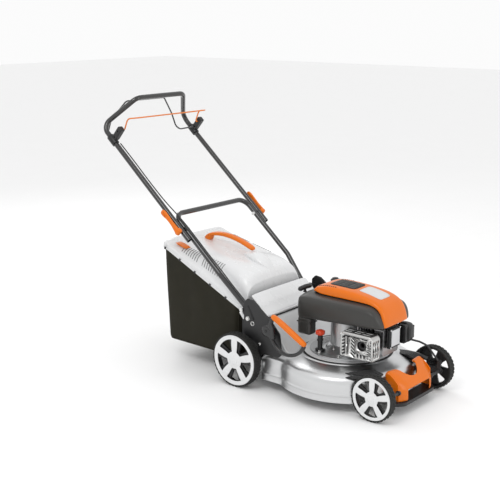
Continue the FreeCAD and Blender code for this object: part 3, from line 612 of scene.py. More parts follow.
def bag_ring(depth, inset, drop, sag):
    """One level ring of the bag: depth goes from 0 at the rim to 1 at the bottom."""
    rear = mix(-469, -454, depth) + inset
    front = mix(-46, -52, depth) - inset
    rear_z = mix(499, 98, depth) - drop
    front_z = mix(299, 92, depth) - drop
    half = BAG_SIDE - 2 - 3 * depth - inset
    corner = 26.0
    spots = []
    length, width = front - rear - 2 * corner, 2 * (half - corner)
    x, y = front - corner, corner - half
    for (nx, ny), (along_x, along_y), count, run in (((0, -1), (-1, 0), 28, length),
            ((-1, 0), (0, 1), 20, width), ((0, 1), (1, 0), 28, length), ((1, 0), (0, -1), 20, width)):
        for k in range(count):
            spots.append((x + nx * corner + along_x * run * k / count,
                y + ny * corner + along_y * run * k / count, (nx, ny)))
        x, y = x + along_x * run, y + along_y * run
        for k in range(6):
            c, s = math.cos(math.radians(15 * k)), math.sin(math.radians(15 * k))
            way = (nx * c + along_x * s, ny * c + along_y * s)
            spots.append((x + corner * way[0], y + corner * way[1], way))
    ring = []
    for x, y, (nx, ny) in spots:
        t = (x - rear) / (front - rear)
        z = mix(rear_z, front_z, t)
        if ny:
            belly = math.sin(math.pi * min(1, max(0, t))) ** 0.8
        else:
            belly = math.cos(math.pi / 2 * min(1, abs(y) / half)) ** 0.8
        fold = noise.noise(Vector((x * 0.011, y * 0.011, depth * 1.7))) * 3.2
        fold += noise.noise(Vector((x * 0.03, y * 0.03 + 7, depth * 4.5))) * 1.3
        push = sag * (belly * 4.5 * math.sin(math.pi * min(1, depth)) + fold * math.sin(math.pi * min(1,
            depth)) ** 0.7)
        if nx > 0.5:
            push = min(push, 0)
        ring.append((x + nx * push, y + ny * push, z - abs(sag) * 3 * belly * depth))
    return ring


def bag_cloth():
    """The cloth: a taut skin over a wire frame, that bellies a little and sags at the bottom."""
    levels = [0, 0.02, 0.06, 0.12, 0.2, 0.3, 0.4, 0.5, 0.6, 0.7, 0.8, 0.88, 0.94, 0.98]
    rows = [bag_ring(depth, 0, 0, 1.0) for depth in levels]
    rows += [bag_ring(1, 2, 4, 0), bag_ring(1, 9, 9, 0), bag_ring(1, 18, 11, 0)]
    centre_x, low_z = -252, 90
    base = rows[-1]
    for shrink, drop in ((0.86, 1.5), (0.68, 4), (0.48, 6), (0.28, 7), (0.1, 7)):
        rows.append([(mix(centre_x, x, shrink), y * shrink, mix(low_z, z, shrink) - drop) for x, y,
            z in base])
    cloth = grid("bag_cloth", rows, around=True)
    count = len(rows[0])
    shape = bmesh.new()
    shape.from_mesh(cloth.data)
    shape.verts.ensure_lookup_table()
    shape.faces.new([shape.verts[(len(rows) - 1) * count + k] for k in range(count)])
    bmesh.ops.recalc_face_normals(shape, faces=shape.faces)
    shape.to_mesh(cloth.data)
    shape.free()
    cloth.data.polygons.foreach_set("use_smooth", [True] * len(cloth.data.polygons))
    return cloth, rows


cloth, bag_rows = bag_cloth()
thick(cloth, 1.6)
subdivided(cloth, 1)
keep(cloth, "bag_cloth", body="grass_bag", replaces=["bag_fabric"])
SEAM_COLUMNS = (31, 57, 91, 117)
seams = [wire("seam", [row[column] for row in bag_rows[:16]], 2.2) for column in SEAM_COLUMNS]
edge = bag_rows[14]
seams.append(wire("seam", [edge[(k * 2) % len(edge)] for k in range(len(edge) // 2 + 1)], 2.6))
for seam in seams:
    seam.data.bevel_resolution = 2
keep(merged("bag_piping", seams), "bag_cloth", body="grass_bag")

LID = [(-471, 18, 26), (-466, 22, 33), (-452, 24, 38), (-425, 25, 42), (-370, 26, 58), (-300, 26, 80),
    (-200, 26, 110), (-120, 26, 134), (-60, 25, 146), (-28, 24, 142), (-14, 22, 118)]
LID_ACROSS = [(-1.0, 0.0, 0.0), (-1.0, 0.55, 0.0), (-0.985, 0.95, 0.0), (-0.965, 1.0, 0.04),
    (-0.94, 1.0, 0.2), (-0.91, 1.0, 0.46), (-0.87, 1.0, 0.68), (-0.8, 1.0, 0.83), (-0.7, 1.0, 0.91),
    (-0.58, 1.0, 0.95), (-0.42, 1.0, 0.98), (-0.2, 1.0, 1.0)]
LID_ACROSS += [(0.0, 1.0, 1.0)] + [(-u, a, b) for u, a, b in reversed(LID_ACROSS)]


def lid_point(x, across, up, crown):
    """A point of the lid: across from -1 to 1, up its rim from 0 to 1, then up its crown from 0 to 1."""
    rim, hump = between(LID, x)
    half = BAG_SIDE + 1 - 4 * smooth_step(-x, 430, 475)
    return (x, across * half, bag_rim(x) + 0.5 + up * rim + crown * (hump - rim))


def lid():
    """The bag's white lid: a rim band with shoulders that rise to a long crowned back."""
    stations = [-471, -469, -462, -448, -425, -400, -375, -340, -300, -250, -200, -150, -110, -75, -48, -28,
        -17, -14]
    rows = [[lid_point(x, u, a, b) for u, a, b in LID_ACROSS] for x in stations]
    for end, x in ((0, -471), (-1, -13)):
        closed = [[(x, p[1] * 0.995, mix(bag_rim(x), p[2], t)) for p in rows[end]] for t in (0.97, 0.6, 0.1)]
        rows = closed[::-1] + rows if end == 0 else rows + closed
    skin = grid("bag_lid_shell", rows)
    thick(skin, 2.5, 1.0 if skin.data.polygons[len(skin.data.polygons) // 2].normal.z < 0 else -1.0)
    return subdivided(skin, 2)


lid_piece = lid()
keep(lid_piece, "white_plastic", body="grass_bag", replaces=["bag_lid"])
bpy.context.view_layer.update()
lid_tree = BVHTree.FromObject(lid_piece, bpy.context.evaluated_depsgraph_get())


def lid_top(x, y):
    """Height of the finished lid at a point of its plan."""
    return lid_tree.ray_cast(at(x, y, 900), Vector((0, 0, -1)))[0].z / MM


def rim_band(side, lift, depth, out):
    """A strip along the lid's side rim."""
    path = [(x, side * (BAG_SIDE + out), bag_rim(x) + lift) for x in range(-466, -20, 24)]
    return section_loft("band", path, [(1.1, depth)] * len(path), 12, 4)


bands = [rim_band(side, lift, depth, out) for side in (-1, 1) for lift, depth,
    out in ((3.0, 2.6, 1.6), (15.0, 0.9, 0.9))]
keep(merged("lid_rim_bands", bands), "white_plastic", body="grass_bag")
clips = []
for side in (-1, 1):
    for x in (-455, -370, -285, -200, -115):
        inner, outer = sorted((side * (BAG_SIDE + 2.6), side * (BAG_SIDE + 4.1)))
        clips.append(block("clip", (x - 6, inner, bag_rim(x) - 4), (x + 4, outer, bag_rim(x) + 8), 0.7, 18))
keep(merged("lid_clips", clips), "black_plastic", body="grass_bag")


def vent_slot_shades():
    """Two groups of short black strips on each shoulder of the lid, painted where its vent slots lie in shade.
    """
    slots = []
    for side in (-1, 1):
        for first, count in ((-372, 8), (-258, 9)):
            for k in range(count):
                x = first + k * 12
                line = [(x + step * 0.8, side * mix(180, 148, step / 8)) for step in range(9)]
                path = [(x, y, lid_top(x, y) + 0.2) for x, y in line]
                slots.append(section_loft("slot", path, [(2.2, 0.8)] * 9, 8))
    return slots


# The black strips are painted shade of the lid's vent slots.
keep(merged("lid_vent_shades", vent_slot_shades()), "black_plastic", body="grass_bag")


def socket_boss():
    """The long smooth boss that the grip runs into at the front of the lid."""
    rows = []
    for x, half, top in ((-176, 6, 1), (-166, 18, 8), (-148, 27, 20), (-128, 33, 28), (-100, 37, 32),
            (-76, 36, 28), (-52, 30, 18), (-34, 21, 7), (-22, 8, -2)):
        base = lid_point(x, 0, 1, 1)[2] - 3
        ring = []
        for k in range(13):
            angle = math.pi * k / 12
            ring.append((x, -half * math.cos(angle), base + 3 + (top - 3) * math.sin(angle) ** 0.75))
        ring += [(x, half, base - 4), (x, -half, base - 4)]
        rows.append(ring)
    return subdivided(grid("grip_boss", rows, around=True, ends=True), 1)


keep(socket_boss(), "white_plastic", body="grass_bag")
GRIP_LINE = [(-398, 512), (-390, 521), (-372, 532), (-345, 541), (-310, 545), (-270, 544), (-230, 538),
    (-190, 528), (-150, 514), (-120, 500)]
grip_sections = [(7, 2.5), (12, 6), (14, 8), (15, 8.5), (15, 8.5), (15, 8.5), (15, 8.5), (15, 8.5), (15, 8.5),
    (14.5, 8)]
grip = subdivided(section_loft("bag_grip", [(x, 0, z) for x, z in GRIP_LINE], grip_sections, 16, 3.2), 1)
foot = prism("bag_grip_foot", [(-392, 506), (-388, 524), (-352, 534), (-362, 512), (-376, 504)], -13, 13, 4)
keep(merged("bag_grip_bar", [grip, foot]), "orange_plastic", body="grass_bag", replaces=["bag_handle"])
tab_path = [(x, -161, lid_top(x, -161) + lift) for x, lift in ((-412, 6), (-404, 7), (-385, 6.5), (-364, 5.5),
    (-352, 4.5))]
tab = section_loft("level_tab", tab_path, [(12, 1.5), (16, 2.6), (17, 3), (16, 2.6), (14, 1.2)], 16, 6)
keep(tab, "orange_plastic", body="level_indicator", replaces=["level_indicator"])

# --- deck
DECK_X = 360
DECK_RADIUS = 275


def deck_reach(angle):
    """Distance from the deck's middle to its edge: a circle, squared off behind and notched for the wheels."""
    c, s = math.cos(angle), abs(math.sin(angle))
    if c * DECK_RADIUS <= -158:
        return min(-276 / c, 225 / max(s, 0.01))
    if c * DECK_RADIUS > 184 and s * DECK_RADIUS > 190:
        return min(DECK_RADIUS, max(190 / s, 184 / c))
    return DECK_RADIUS


def deck_skin():
    """The pressed and polished pan: rolled edge, bead, rounded shoulder, sloping band and engine seat."""
    steps = 288
    angles = [math.tau * i / steps for i in range(steps)]
    raw = [deck_reach(angle) for angle in angles]
    reach = [sum(raw[(i + k) % steps] for k in (-2, -1, 0, 1, 2)) / 5 for i in range(steps)]
    outer = [(-3.0, 41.5), (-0.5, 40.4), (1.6, 41.2), (1.8, 43.6), (0.6, 46), (0, 49), (0, 62), (-0.2, 66),
        (1.5, 68.5), (1.5, 72.5), (-0.2, 75), (0, 80), (-0.4, 108), (-1.6, 118), (-4.5, 127), (-10, 135),
        (-19, 141.5), (-31, 147), (-46, 151.5), (-62, 155)]
    inner = [(203, 157.5), (196, 159), (190.5, 159.6), (187, 160.6), (184.5, 163.4), (181, 164.8), (176, 165),
        (140, 165), (60, 165)]
    rings = [([r + shift for r in reach], z) for shift, z in outer]
    rings += [([radius] * steps, z) for radius, z in inner]
    rows = [[(DECK_X + r * math.cos(a), r * math.sin(a), z) for r, a in zip(radii, angles)] for radii,
        z in rings]
    skin = grid("polished_deck", rows, around=True)
    return thick(skin, 2.0, -1.0)


deck = deck_skin()
passage = prism("deck_passage", [(62, 170), (61, 276), (66, 284.5), (96, 284.5), (188, 165.5), (214, 150),
    (86, 150)], -177.5, 177.5, 7)
keep(merged("deck_pressing", [deck]), "deck_steel", replaces=["deck_shell"])
keep(merged("deck_passage_sheet", [passage]), "deck_steel", look="satin_sheet", replaces=["deck_shell"])
# A black ring painted where the deck's groove round the engine seat lies in shade: painted shade.
ring = lathe("groove_shade_ring", [(174, 164.6), (183.5, 164.6), (184, 165.4), (182, 166.2), (176, 166.4),
    (174, 166)], (DECK_X, 0, 0), (0, 0, 1), 96)
keep(ring, "black_plastic", look="gasket")
seat = lathe("engine_seat", [(146, 164.8), (173, 164.8), (173.6, 165.6), (172.6, 166.4), (166, 166.2),
    (163, 167), (146, 167)], (DECK_X, 0, 0), (0, 0, 1), 96)
keep(seat, "deck_steel", look="satin_sheet")
# A black line painted in the crease under the flap's hinge bar, where shade falls: painted shade.
crease_shade = wire("hinge_crease_shade", [(98, -176, 285), (98, -90, 285.6), (98, 90, 285.6), (98, 176, 285)], 2.4)
keep(crease_shade, "black_plastic", look="gasket")


def front_shoulder(side):
    """The black ribbed cover on one front shoulder of the deck, its fingers apart over the metal."""
    parts = []
    wide = 1.0 if side < 0 else 0.78
    for k in range(5):
        y = side * (188 - 13.5 * k) * wide
        start, end = 486 + 5 * k, 622 - 3 * k
        path = [(start, y + side * 12, 148.5), (mix(start, end, 0.35), y + side * 5, 154),
            (mix(start, end, 0.7), y, 157), (end, y - side * 4, 152)]
        parts.append(section_loft("finger", path, [(1.5, 2), (4.3, 4.5), (4.8, 5.5), (4, 4)], 12, 4))
    outer = [(x, side * y * wide, z) for x, y, z in ((500, 216, 138), (540, 204, 148), (590, 196, 150),
        (640, 190, 146))]
    parts.append(section_loft("edge", outer, [(3, 3), (10, 8), (12, 9), (10, 6)], 16, 4))
    return parts


keep(merged("front_shoulder_covers", front_shoulder(-1) + front_shoulder(1)), "black_plastic",
    replaces=["front_axle_cover"])

# --- front bumper
BUMPER_TOP = [(612, 152), (617, 158), (625, 161.5), (634, 160), (646, 151), (662, 138), (678, 124),
    (687, 112), (692, 102), (694, 98), (695.5, 84), (696, 66), (696, 62), (695, 54)]
BUMPER_HALF = 122


def bumper():
    """The orange front bumper: two horns round a scoop, and a hand opening in its face."""
    ys = [-122, -120, -114, -104, -94, -84, -80, -70, -60, -48, -36, -24, -12, 0]
    ys += [-y for y in reversed(ys[:-1])]
    rows = []
    for x, z in BUMPER_TOP:
        row = []
        for y in ys:
            share = abs(y) / BUMPER_HALF
            scoop = 604 + math.sqrt(max(0.0, 68 ** 2 - y * y)) if abs(y) < 68 else 604
            near_x = max(x, scoop)
            top = between([(a, b) for a, b in BUMPER_TOP if a < 695], near_x)[0]
            height = min(z, top) + 3.0 * smooth_step(share, 0.5, 0.95) * smooth_step(690 - near_x, 0, 60)
            row.append((near_x - 20 * max(0.0, share - 0.55) ** 2 / 0.2 * smooth_step(near_x, 610, 690), y,
                height - 9 * smooth_step(share, 0.94, 1.0) * (1 if z > 104 else 0.0)))
        rows.append(row)
    count = len(ys)
    faces = []
    for i in range(len(rows) - 1):
        for j in range(count - 1):
            opening = i >= 9 and abs(ys[j]) <= 80 and abs(ys[j + 1]) <= 80
            if not opening:
                faces.append((i * count + j, i * count + j + 1, (i + 1) * count + j + 1, (i + 1) * count + j))
    skin = mesh("bumper_skin", [p for row in rows for p in row], faces)
    face_up(skin, 0)
    thick(skin, 4.5)
    subdivided(skin, 2)
    walls = [prism("bumper_wall", [(614, 148), (618, 154), (634, 155), (650, 144), (672, 122), (676, 54),
        (640, 54), (620, 130)], *sorted((side * 116, side * 121)), 2) for side in (-1, 1)]
    return merged("front_bumper_shell", [skin] + walls)


keep(bumper(), "orange_plastic", replaces=["front_bumper"])
soften("lower_bumper", 2)

# --- engine housing
TANK_TOP = [(190, 366, 96), (192, 378, 108), (197, 388, 115), (208, 395, 119), (230, 398, 121),
    (300, 398, 121.5), (420, 398, 121.5), (500, 397, 121.5), (525, 393, 121), (545, 383, 120),
    (560, 368, 117), (570, 350, 111), (577, 334, 101), (580, 324, 90)]


def tank():
    """The dark tank and blower housing: a long box with soft shoulders that rounds down at the front."""
    rows = []
    for x, top, half in TANK_TOP:
        low = 292 + (x - 190) * 0.055
        crease = min(376, top - 9)
        crease = max(crease, low + 6)
        section = [(0.9, low), (0.985, low + 3), (1.0, mix(low, crease, 0.3)), (1.0, mix(low, crease, 0.8)),
            (0.985, mix(low, crease, 0.96)), (0.94, mix(crease, top, 0.3)), (0.8, mix(crease, top, 0.66)),
            (0.6, mix(crease, top, 0.92)), (0.3, top), (0, top)]
        row = [(x, -u * half, z) for u, z in section] + [(x, u * half, z) for u, z in reversed(section[:-1])]
        rows.append(row)
    return subdivided(grid("engine_tank", rows, around=True, ends=True), 2)


cup = block("tank_cup", (193, -115, 227), (257, -68, 300), 11, segments=4)
cup_ribs = [block("cup_rib", (x, -117, 232), (x + 5, -112, 292), 1.5) for x in (206, 240)]
cup_band = block("cup_band", (191.5, -116.5, 276), (258.5, -66, 281), 1.5)
keep(merged("fuel_tank_body", [tank(), cup, cup_band] + cup_ribs), "grey_plastic", replaces=["fuel_tank"])

COVER = [(233, 400, 62, 4), (236, 407, 68, 11), (242, 415, 73, 18), (254, 424, 77, 27), (272, 430.5, 79, 33),
    (300, 434.5, 80, 37), (350, 435.5, 80.5, 38), (410, 432.5, 81, 35), (460, 427, 81, 30),
    (500, 420, 81, 24), (528, 411, 81, 19), (548, 400, 81.5, 16), (562, 388, 82, 14), (573, 372, 82, 13),
    (581, 352, 82.5, 13), (586, 332, 83, 13), (588.5, 317, 83, 13)]
COVER_ACROSS = [(1.0, 1.0), (0.995, 0.72), (0.975, 0.45), (0.93, 0.24), (0.85, 0.1), (0.7, 0.03),
    (0.45, 0.005), (0, 0)]


def cover_point(k, across, depth):
    """A point of the engine cover at a station: across from -1 to 1, and depth below its back in millimetres."""
    x, z, half, _ = COVER[k]
    before, after = COVER[max(k - 1, 0)], COVER[min(k + 1, len(COVER) - 1)]
    way = Vector((after[0] - before[0], 0, after[1] - before[1])).normalized()
    return (x + way.z * depth, across * half, z - way.x * depth)


def engine_cover():
    """The orange cover: a crowned back that bends down in front into an apron."""
    rows = []
    for k, station in enumerate(COVER):
        half = [cover_point(k, -u, d * station[3]) for u, d in COVER_ACROSS]
        rows.append(half + [(x, -y, z) for x, y, z in reversed(half[:-1])])
    skin = grid("engine_cover_shell", rows)
    face_up(skin, len(skin.data.polygons) // 2)
    thick(skin, 2.6)
    return subdivided(skin, 2)


keep(engine_cover(), "orange_plastic", replaces=["engine_cover"])


def cover_height(x, y):
    """Height of the engine cover's back at a point of its upper side."""
    top, half, depth = between(COVER, x)
    share = between(sorted((u, d) for u, d in COVER_ACROSS), abs(y) / half)[0]
    return top - share * depth


def on_cover(name, x_from, x_to, y_from, y_to, lift, power=5.0, steps=28):
    """A thin rounded panel that follows the engine cover."""
    rings = 6
    rows = [[] for _ in range(rings + 1)]
    for r, row in enumerate(rows):
        for k in range(steps):
            c, s = math.cos(math.tau * k / steps), math.sin(math.tau * k / steps)
            x = mix(x_from, x_to, 0.5 + math.copysign(abs(c) ** (2 / power), c) * r / rings / 2)
            y = mix(y_from, y_to, 0.5 + math.copysign(abs(s) ** (2 / power), s) * r / rings / 2)
            row.append((x, y, cover_height(x, y) + lift))
    panel = grid(name, rows, around=True)
    face_up(panel, -1)
    return thick(panel, 1.2)


keep(on_cover("grille_bed", 294, 418, -46, 46, 0.5), "black_plastic", replaces=["cover_grille"])
slats = []
for k in range(8):
    y = -38 + k * 10.6
    for start, end in ((300, 336), (340, 376), (380, 412)):
        slats.append(on_cover("slat", start, end, y, y + 5.2, 1.7, 4, 12))
keep(merged("grille_slats", slats), "black_plastic", look="grey_plastic")
# Black strips painted where the cover's small slots lie in shade: painted shade of the openings.
slot_shades = [on_cover("cover_slot_shade", 262 + 9.5 * k, 268 + 9.5 * k, *sorted((side * 60, side * 66)), 0.35, 2,
    12) for side in (-1, 1) for k in range(9)]
keep(merged("cover_slot_shades", slot_shades), "black_plastic", look="gasket")
keep(on_cover("cover_panel", 432, 532, -40, 40, 0.5, 7), "white_plastic", look="pale_panel")

# --- engine's side parts
head_frame = block("rocker_frame", (561, -37.5, 219), (581, 37.5, 299), 7, segments=4)
keep(head_frame, "black_plastic", replaces=["valve_cover"])
panel = block("rocker_panel", (579.5, -29, 228), (583.8, 29, 292), 4, segments=4)
lugs = [lathe("rocker_screw", [(0, 0), (4, 0), (4, 2.2), (3.2, 3), (0, 3)], (580.5, y, z), (1, 0, 0),
    16) for y in (-32, 32) for z in (224, 294)]
keep(merged("rocker_plate", [panel] + lugs), "cast_aluminium", look="pale_panel")

filter_path = [(575, y, 262) for y in (63.5, 66, 74, 88, 100, 106, 109)]
filter_form = [(27, 35), (30, 39), (31, 40), (31, 40), (29, 38), (24, 33), (14, 22)]
air_lid = section_loft("air_cleaner", filter_path, filter_form, 28, 3.4)
subdivided(air_lid, 1)
latch = block("air_cleaner_latch", (600, 70, 244), (606.5, 92, 282), 2.5)
ribs = [block("air_rib", (552 + 11 * k, 104, 236), (556 + 11 * k, 110, 288), 1.5) for k in range(5)]
keep(merged("air_cleaner_lid", [air_lid, latch] + ribs), "black_plastic", replaces=["air_filter_cover"])

GUARD = ((423, -150, 194), (572, -93, 293))


def guard():
    """The silver heat guard: a thin sheet box with slanted slots and a round outlet cut through it."""
    (x1, y1, z1), (x2, y2, z2) = GUARD
    outline = [(x1, z1), (x1, z2 - 12), (x1 + 12, z2), (x2 - 12, z2), (x2, z2 - 14), (x2, z1)]
    shell = prism("heat_guard", outline, y1, y2, 5, 4)
    room = prism("guard_room", [(x1 + 2, z1 - 9), (x1 + 2, z2 - 13), (x1 + 13, z2 - 2), (x2 - 13, z2 - 2),
        (x2 - 2, z2 - 15), (x2 - 2, z1 - 9)], y1 + 2, y2 + 9, 3, 3)
    cutters = [room]

    def cut(x_low, x_high, z_low, z_high, round_by, turn=0.0, y_low=-5, y_high=5):
        cutters.append(block("cut", (x_low, y1 + y_low, z_low), (x_high, y1 + y_high, z_high), round_by,
            turn))

    for k in range(6):
        z = z1 + 13 + 13.2 * k
        cut(434, 450, z - 3, z + 3, 2.2, -35)
        cut(474, 496, z - 2.4, z + 2.4, 2, 40)
    for k in range(2):
        cut(456, 460.5, z1 + 12 + 38 * k, z1 + 44 + 38 * k, 1.8)
    cutters.append(lathe("cut", [(20, -8), (20, 8)], (524, y1, 251), (0, 1, 0), 40))
    for k in range(7):
        cut(550.5, 555, z1 + 10 + 8.5 * k, z1 + 14.5 + 8.5 * k, 1.4)
        cut(561, 565.5, z1 + 8 + 11 * k, z1 + 14 + 11 * k, 1.6)
    for k in range(3):
        cut(503 + 15 * k, 509 + 15 * k, z1 + 8, z1 + 23, 2)
        cut(446 + 38 * k, 474 + 38 * k, z2 - 17, z2 - 12, 2)
        for y in (10, 28):
            cut(440 + 42 * k, 468 + 42 * k, z2 - 6, z2 + 6, 2.5, 0, y, y + 8)
    for row in range(3):
        for k in range(3):
            y, z = 9 + 15 * k, z1 + 10 + 25 * row
            cut(x2 - 6, x2 + 6, z, z + 20, 2, 0, y, y + 5)
            turned(cutters[-1], (x2, y1 + y + 2, z + 10), 28 if row % 2 else -28, "X")
    tool = merged("guard_tool", cutters)
    shell = merged("heat_guard_sheet", [shell])
    modify(shell, "BOOLEAN", operation="DIFFERENCE", solver="EXACT", use_self=True, object=tool)
    bpy.context.view_layer.update()
    result = merged("muffler_heat_guard", [shell])
    bpy.data.objects.remove(tool)
    return result


keep(guard(), "pressed_steel", replaces=["muffler_guard"])
guard_bolts = [bolt("guard_bolt", (x, -150, 284), (0, -1, 0), 4.6, 4) for x in (431, 564)]
keep(merged("guard_bolts", guard_bolts), "bright_steel")

soften("crankcase", 3)
soften("cylinder_head", 2)
case_bolts = []
for radius, z, size, height, degrees in ((132, 173, 8, 8, (-112, -70, -25, 60, 120, 175)),
        (86, 184.5, 5, 6, (-150, -128, -95, -62, -40, 20, 70, 130))):
    for a in map(math.radians, degrees):
        spot = (DECK_X + radius * math.cos(a), radius * math.sin(a), z)
        case_bolts.append(bolt("case_bolt", spot, (0, 0, 1), size, height))
keep(merged("engine_bolts", case_bolts), "bright_steel")
case_ribs = [turned(block("case_rib", (DECK_X + 66, -2.5, 176), (DECK_X + 104, 2.5, 194), 2), (DECK_X, 0, 0),
    22 + 45 * k, "Z") for k in range(8)]
keep(merged("crankcase_ribs", case_ribs), "cast_aluminium")

FILLER = (300, -104)
knob = lathe("oil_knob", [(6, 0), (13, 0.5), (17, 3), (18.2, 8), (17.5, 14), (14, 19), (8, 21.5), (0, 22)],
    (*FILLER, 238.5), (0, 0, 1), 40)
fins = [turned(block("oil_fin", (FILLER[0] - 19, FILLER[1] - 2.6, 241),
    (FILLER[0] + 19, FILLER[1] + 2.6, 257), 2.4), (*FILLER, 0), 45 * k, "Z") for k in range(4)]
keep(merged("oil_cap_knob", [knob] + fins), "red_plastic", body="oil_cap", replaces=["oil_cap"])
collar = lathe("filler_collar", [(10.2, 0), (13, 1), (13, 5), (10.2, 6)], (*FILLER, 215), (0, 0, 1), 28)
foot = block("filler_foot", (FILLER[0] - 18, FILLER[1] - 12, 173.5), (FILLER[0] + 18, FILLER[1] + 12, 183), 4)
keep(merged("filler_neck_parts", [collar, foot]), "black_plastic")
cap_body = lathe("fuel_knob", [(19, 0), (19.5, 2), (18, 5), (18, 12), (16, 15), (13, 16), (12.5, 19.5),
    (0, 20)], (228, 98, 398.4), (0, 0, 1), 48)
cap_grips = [lathe("fuel_grip", [(1.8, 0), (1.8, 7), (0.8, 8)], (228 + 17.6 * math.cos(a),
    98 + 17.6 * math.sin(a), 403.5), (0, 0, 1), 10) for a in (math.tau * k / 16 for k in range(16))]
keep(merged("fuel_cap_knob", [cap_body] + cap_grips), "black_plastic", body="fuel_cap", replaces=["fuel_cap"])
handle_path = [(176, y, 397 + 3 * math.cos(math.pi * (y + 40) / 90)) for y in (-79, -72, -58, -40, -22, -8,
    -1)]
starter = section_loft("pull_bar", handle_path, [(7, 7), (10, 10), (9, 10), (9.5, 10.5), (9, 10), (10, 10),
    (7, 7)], 20)
stem = lathe("pull_stem", [(8, 0), (6.2, 4), (5, 9), (5, 13)], (176, -40, 379), (0, 0, 1), 24)
keep(merged("starter_pull_bar", [starter, stem]), "black_plastic", body="starter_grip",
    replaces=["starter_grip"])

# --- height lever and side plates
LEVER_Y = -254


def arc_through(a, b, c, count):
    """Points of the circle through three points of the side view, from a by b to c."""
    a, b, c = complex(*a), complex(*b), complex(*c)
    share = (c - a) / (b - a)
    centre = (b - a) * (share - abs(share) ** 2) / (2j * share.imag) + a
    start, middle, end = (math.atan2(p.imag, p.real) for p in (a - centre, b - centre, c - centre))
    middle += math.tau if middle < start else 0
    while end < middle:
        end += math.tau
    radius = abs(a - centre)
    angles = [mix(start, end, k / (count - 1)) for k in range(count)]
    return [(centre.real + radius * math.cos(t), centre.imag + radius * math.sin(t)) for t in angles]


loop = [(x, LEVER_Y, z) for x, z in arc_through((181, 322), (229, 187), (334, 240), 18)]
loop_form = [(9, 8), (9, 8)] + [(8.5, 7.5)] * 14 + [(9, 8), (9, 8)]
lever_loop = subdivided(section_loft("lever_loop", loop, loop_form, 16, 2.6), 1)
lever_arm = prism("lever_arm", [(141, 283), (176, 304), (184, 282), (190, 232), (168, 236), (146, 240)],
    LEVER_Y - 8, LEVER_Y + 8, 5, 4)
lever_hub = lathe("lever_hub", [(16, -9), (21, -8), (22, -5), (22, 14), (19, 16.8)], (150, LEVER_Y, 262),
    (0, 1, 0), 40)
keep(merged("height_lever_frame", [lever_loop, lever_arm, lever_hub]), "black_plastic", look="gloss_black",
    body="height_lever", replaces=["height_lever"])
bar_path = [(173, LEVER_Y, 328), (186, LEVER_Y, 324), (230, LEVER_Y, 302), (280, LEVER_Y, 273),
    (325, LEVER_Y, 247), (340, LEVER_Y, 239)]
bar = subdivided(section_loft("lever_bar", bar_path, [(9, 8), (10.5, 11), (10.8, 11), (10.8, 11),
    (10.5, 10.5), (9, 8)], 20, 3.4), 1)
keep(bar, "orange_plastic", body="height_lever", replaces=["lever_grip"])
soften("side_covers", 1.6)


def side_details(side):
    """The two bolts and the ring of one side plate."""
    y = side * 233.2
    out = (0, side, 0)
    return [bolt("side_bolt", (36, y, 285), out, 9, 7), bolt("side_bolt", (96, y, 190), out, 6, 5),
        lathe("slot_ring", [(7.5, 0), (9.5, 0.4), (9.5, 2), (7.5, 2.4), (6.5, 1), (6.5, 0)], (60, y, 268),
        out, 28)]


for side in (-1, 1):
    hand = "right" if side < 0 else "left"
    keep(merged(f"side_plate_bolts_{hand}", side_details(side)), "bright_steel")
    # A black strip painted where the side plate's slot lies in shade: painted shade of the opening.
    slot_shade_piece = section_loft(f"side_slot_shade_{hand}", [(34, side * 233.3, 338), (50, side * 233.3, 312),
        (66, side * 233.3, 284)], [(0.9, 4.2)] * 3, 14, 5)
    keep(slot_shade_piece, "black_plastic", look="gasket")
    latch_piece = prism(f"frame_latch_{hand}", [(-22, 296), (-14, 304), (4, 296), (10, 280), (0, 270),
        (-12, 284)], *sorted((side * 214, side * 220)), 2.4)
    keep(latch_piece, "white_plastic")

# --- rear flap
def flap_rows():
    """Points of the rear flap: a sheet bent along its width, its side edges drooping."""
    rows = []
    for x, z in ((95, 300), (88, 305.5), (78, 312), (66, 322.5), (60, 330), (52, 337.5), (38, 348), (24, 360),
            (13, 370)):
        half = 183 if z > 310 else 185
        rows.append([(x, y, z - 5 * abs(y / half) ** 8) for y in [half * t for t in (-1, -0.97, -0.9, -0.75,
            -0.5, -0.25, 0, 0.25, 0.5, 0.75, 0.9, 0.97, 1)]])
    return rows


flap = grid("discharge_flap", flap_rows())
face_up(flap, 20)
thick(flap, 4)
subdivided(flap, 2)
hinge_bar = section_loft("flap_hinge", [(92, y, 293) for y in (-185, -120, 0, 120, 185)], [(6.5, 6.5)] * 5,
    20)
keep(merged("rear_flap_panel", [flap, hinge_bar]), "white_plastic", body="rear_flap", replaces=["rear_flap"])

# --- handle fittings
soften("control_pods", 2)


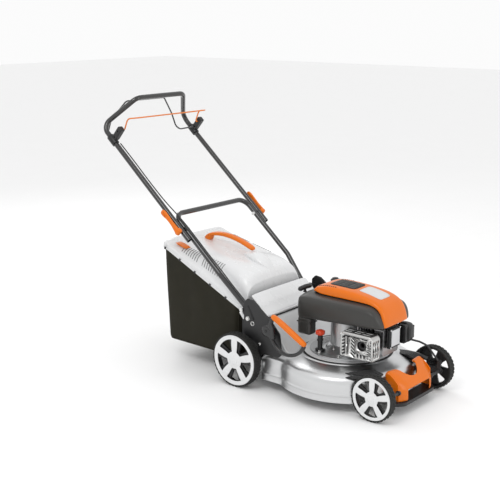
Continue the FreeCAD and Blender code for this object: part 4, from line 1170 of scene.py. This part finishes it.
def cam_lever(side):
    """A quick-release lever: a round boss and a long arm with grip grooves near its tip."""
    y = side * 277
    stations = [(-8, 0, 6, 9), (2, 0, 8, 12), (16, 1, 7.5, 12), (32, 2, 5.5, 9.5), (56, 3, 4.8, 9),
        (78, 3, 5, 10.5), (94, 2, 6, 12.5), (106, 0, 6.5, 13), (114, -1, 5.5, 11), (118, -1, 2.5, 6)]
    path = [along_handle(a, y, b) for a, b, _, _ in stations]
    arm = subdivided(section_loft("cam_arm", path, [(c, d) for _, _, c, d in stations], 18, 2.8), 1)
    boss = lathe("cam_boss", [(9, -12.5), (11.5, -11), (12, 0), (11.5, 11), (9, 12.5)],
        along_handle(0, side * 273), (math.sin(SLOPE), 0, math.cos(SLOPE)), 32)
    ridges = [section_loft("cam_ridge", [along_handle(86 + 6 * k, y + side * 6.2, lift) for lift in (-8, -4,
        0, 4, 8)], [(1, 0.9)] * 5, 8) for k in range(4)]
    return merged("cam_lever_" + ("right" if side < 0 else "left"), [arm, boss] + ridges)


for side, hand in ((-1, "right"), (1, "left")):
    keep(cam_lever(side), "orange_plastic", body="clamp_lever_" + hand, replaces=["clamp_lever_" + hand])
    collar = lathe(f"handle_spacer_{hand}", [(11, 0), (13, 1), (13, 8), (11, 9)],
        along_handle(0, side * 229.5), (0, side, 0), 28)
    keep(collar, "black_plastic")

CABLE_ROUTE = [along_handle(496, -232, 4), along_handle(400, -236, 9), along_handle(280, -237, 8),
    along_handle(160, -236, 9), along_handle(80, -233, 16), along_handle(10, -228, 18),
    along_handle(-70, -225, 15), along_handle(-160, -225, 15.5), along_handle(-243, -224, 17),
    (-46, -213, 388), (6, -209, 343)]
CABLE_RADIUS = 2.5


def spline_points(points):
    """The points of a smooth route, in metres."""
    bare = wire("route", points, 0)
    data = bpy.data.meshes.new_from_object(bare)
    line = [v.co.copy() for v in data.vertices]
    bpy.data.objects.remove(bare)
    bpy.data.meshes.remove(data)
    return line


cable_line = spline_points(CABLE_ROUTE)
cable = merged("control_cable_sheath", [wire("cable_curve", CABLE_ROUTE, CABLE_RADIUS)])
cable.data.polygons.foreach_set("use_smooth", [True] * len(cable.data.polygons))
dress(cable, "cable_sheath")
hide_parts("control_cable")
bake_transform(cable)


# --- floor and studio
FLOOR_HALF = 20000
WORLD_LIGHT = 0.97
floor = mesh("floor", [(x * FLOOR_HALF, y * FLOOR_HALF, 0) for x, y in ((-1, -1), (1, -1), (1, 1), (-1, 1))],
    [(0, 1, 2, 3)])
floor.data.materials.append(finish("floor_paper", (0.92, 0.92, 0.92), 0.8, 60, 0.0002, 0.01, 3, specular=0.1))
world = bpy.data.worlds.new("studio")
scene.world = world
world.use_nodes = True
world.node_tree.nodes["Background"].inputs["Color"].default_value = (1, 1, 1, 1)
world.node_tree.nodes["Background"].inputs["Strength"].default_value = WORLD_LIGHT
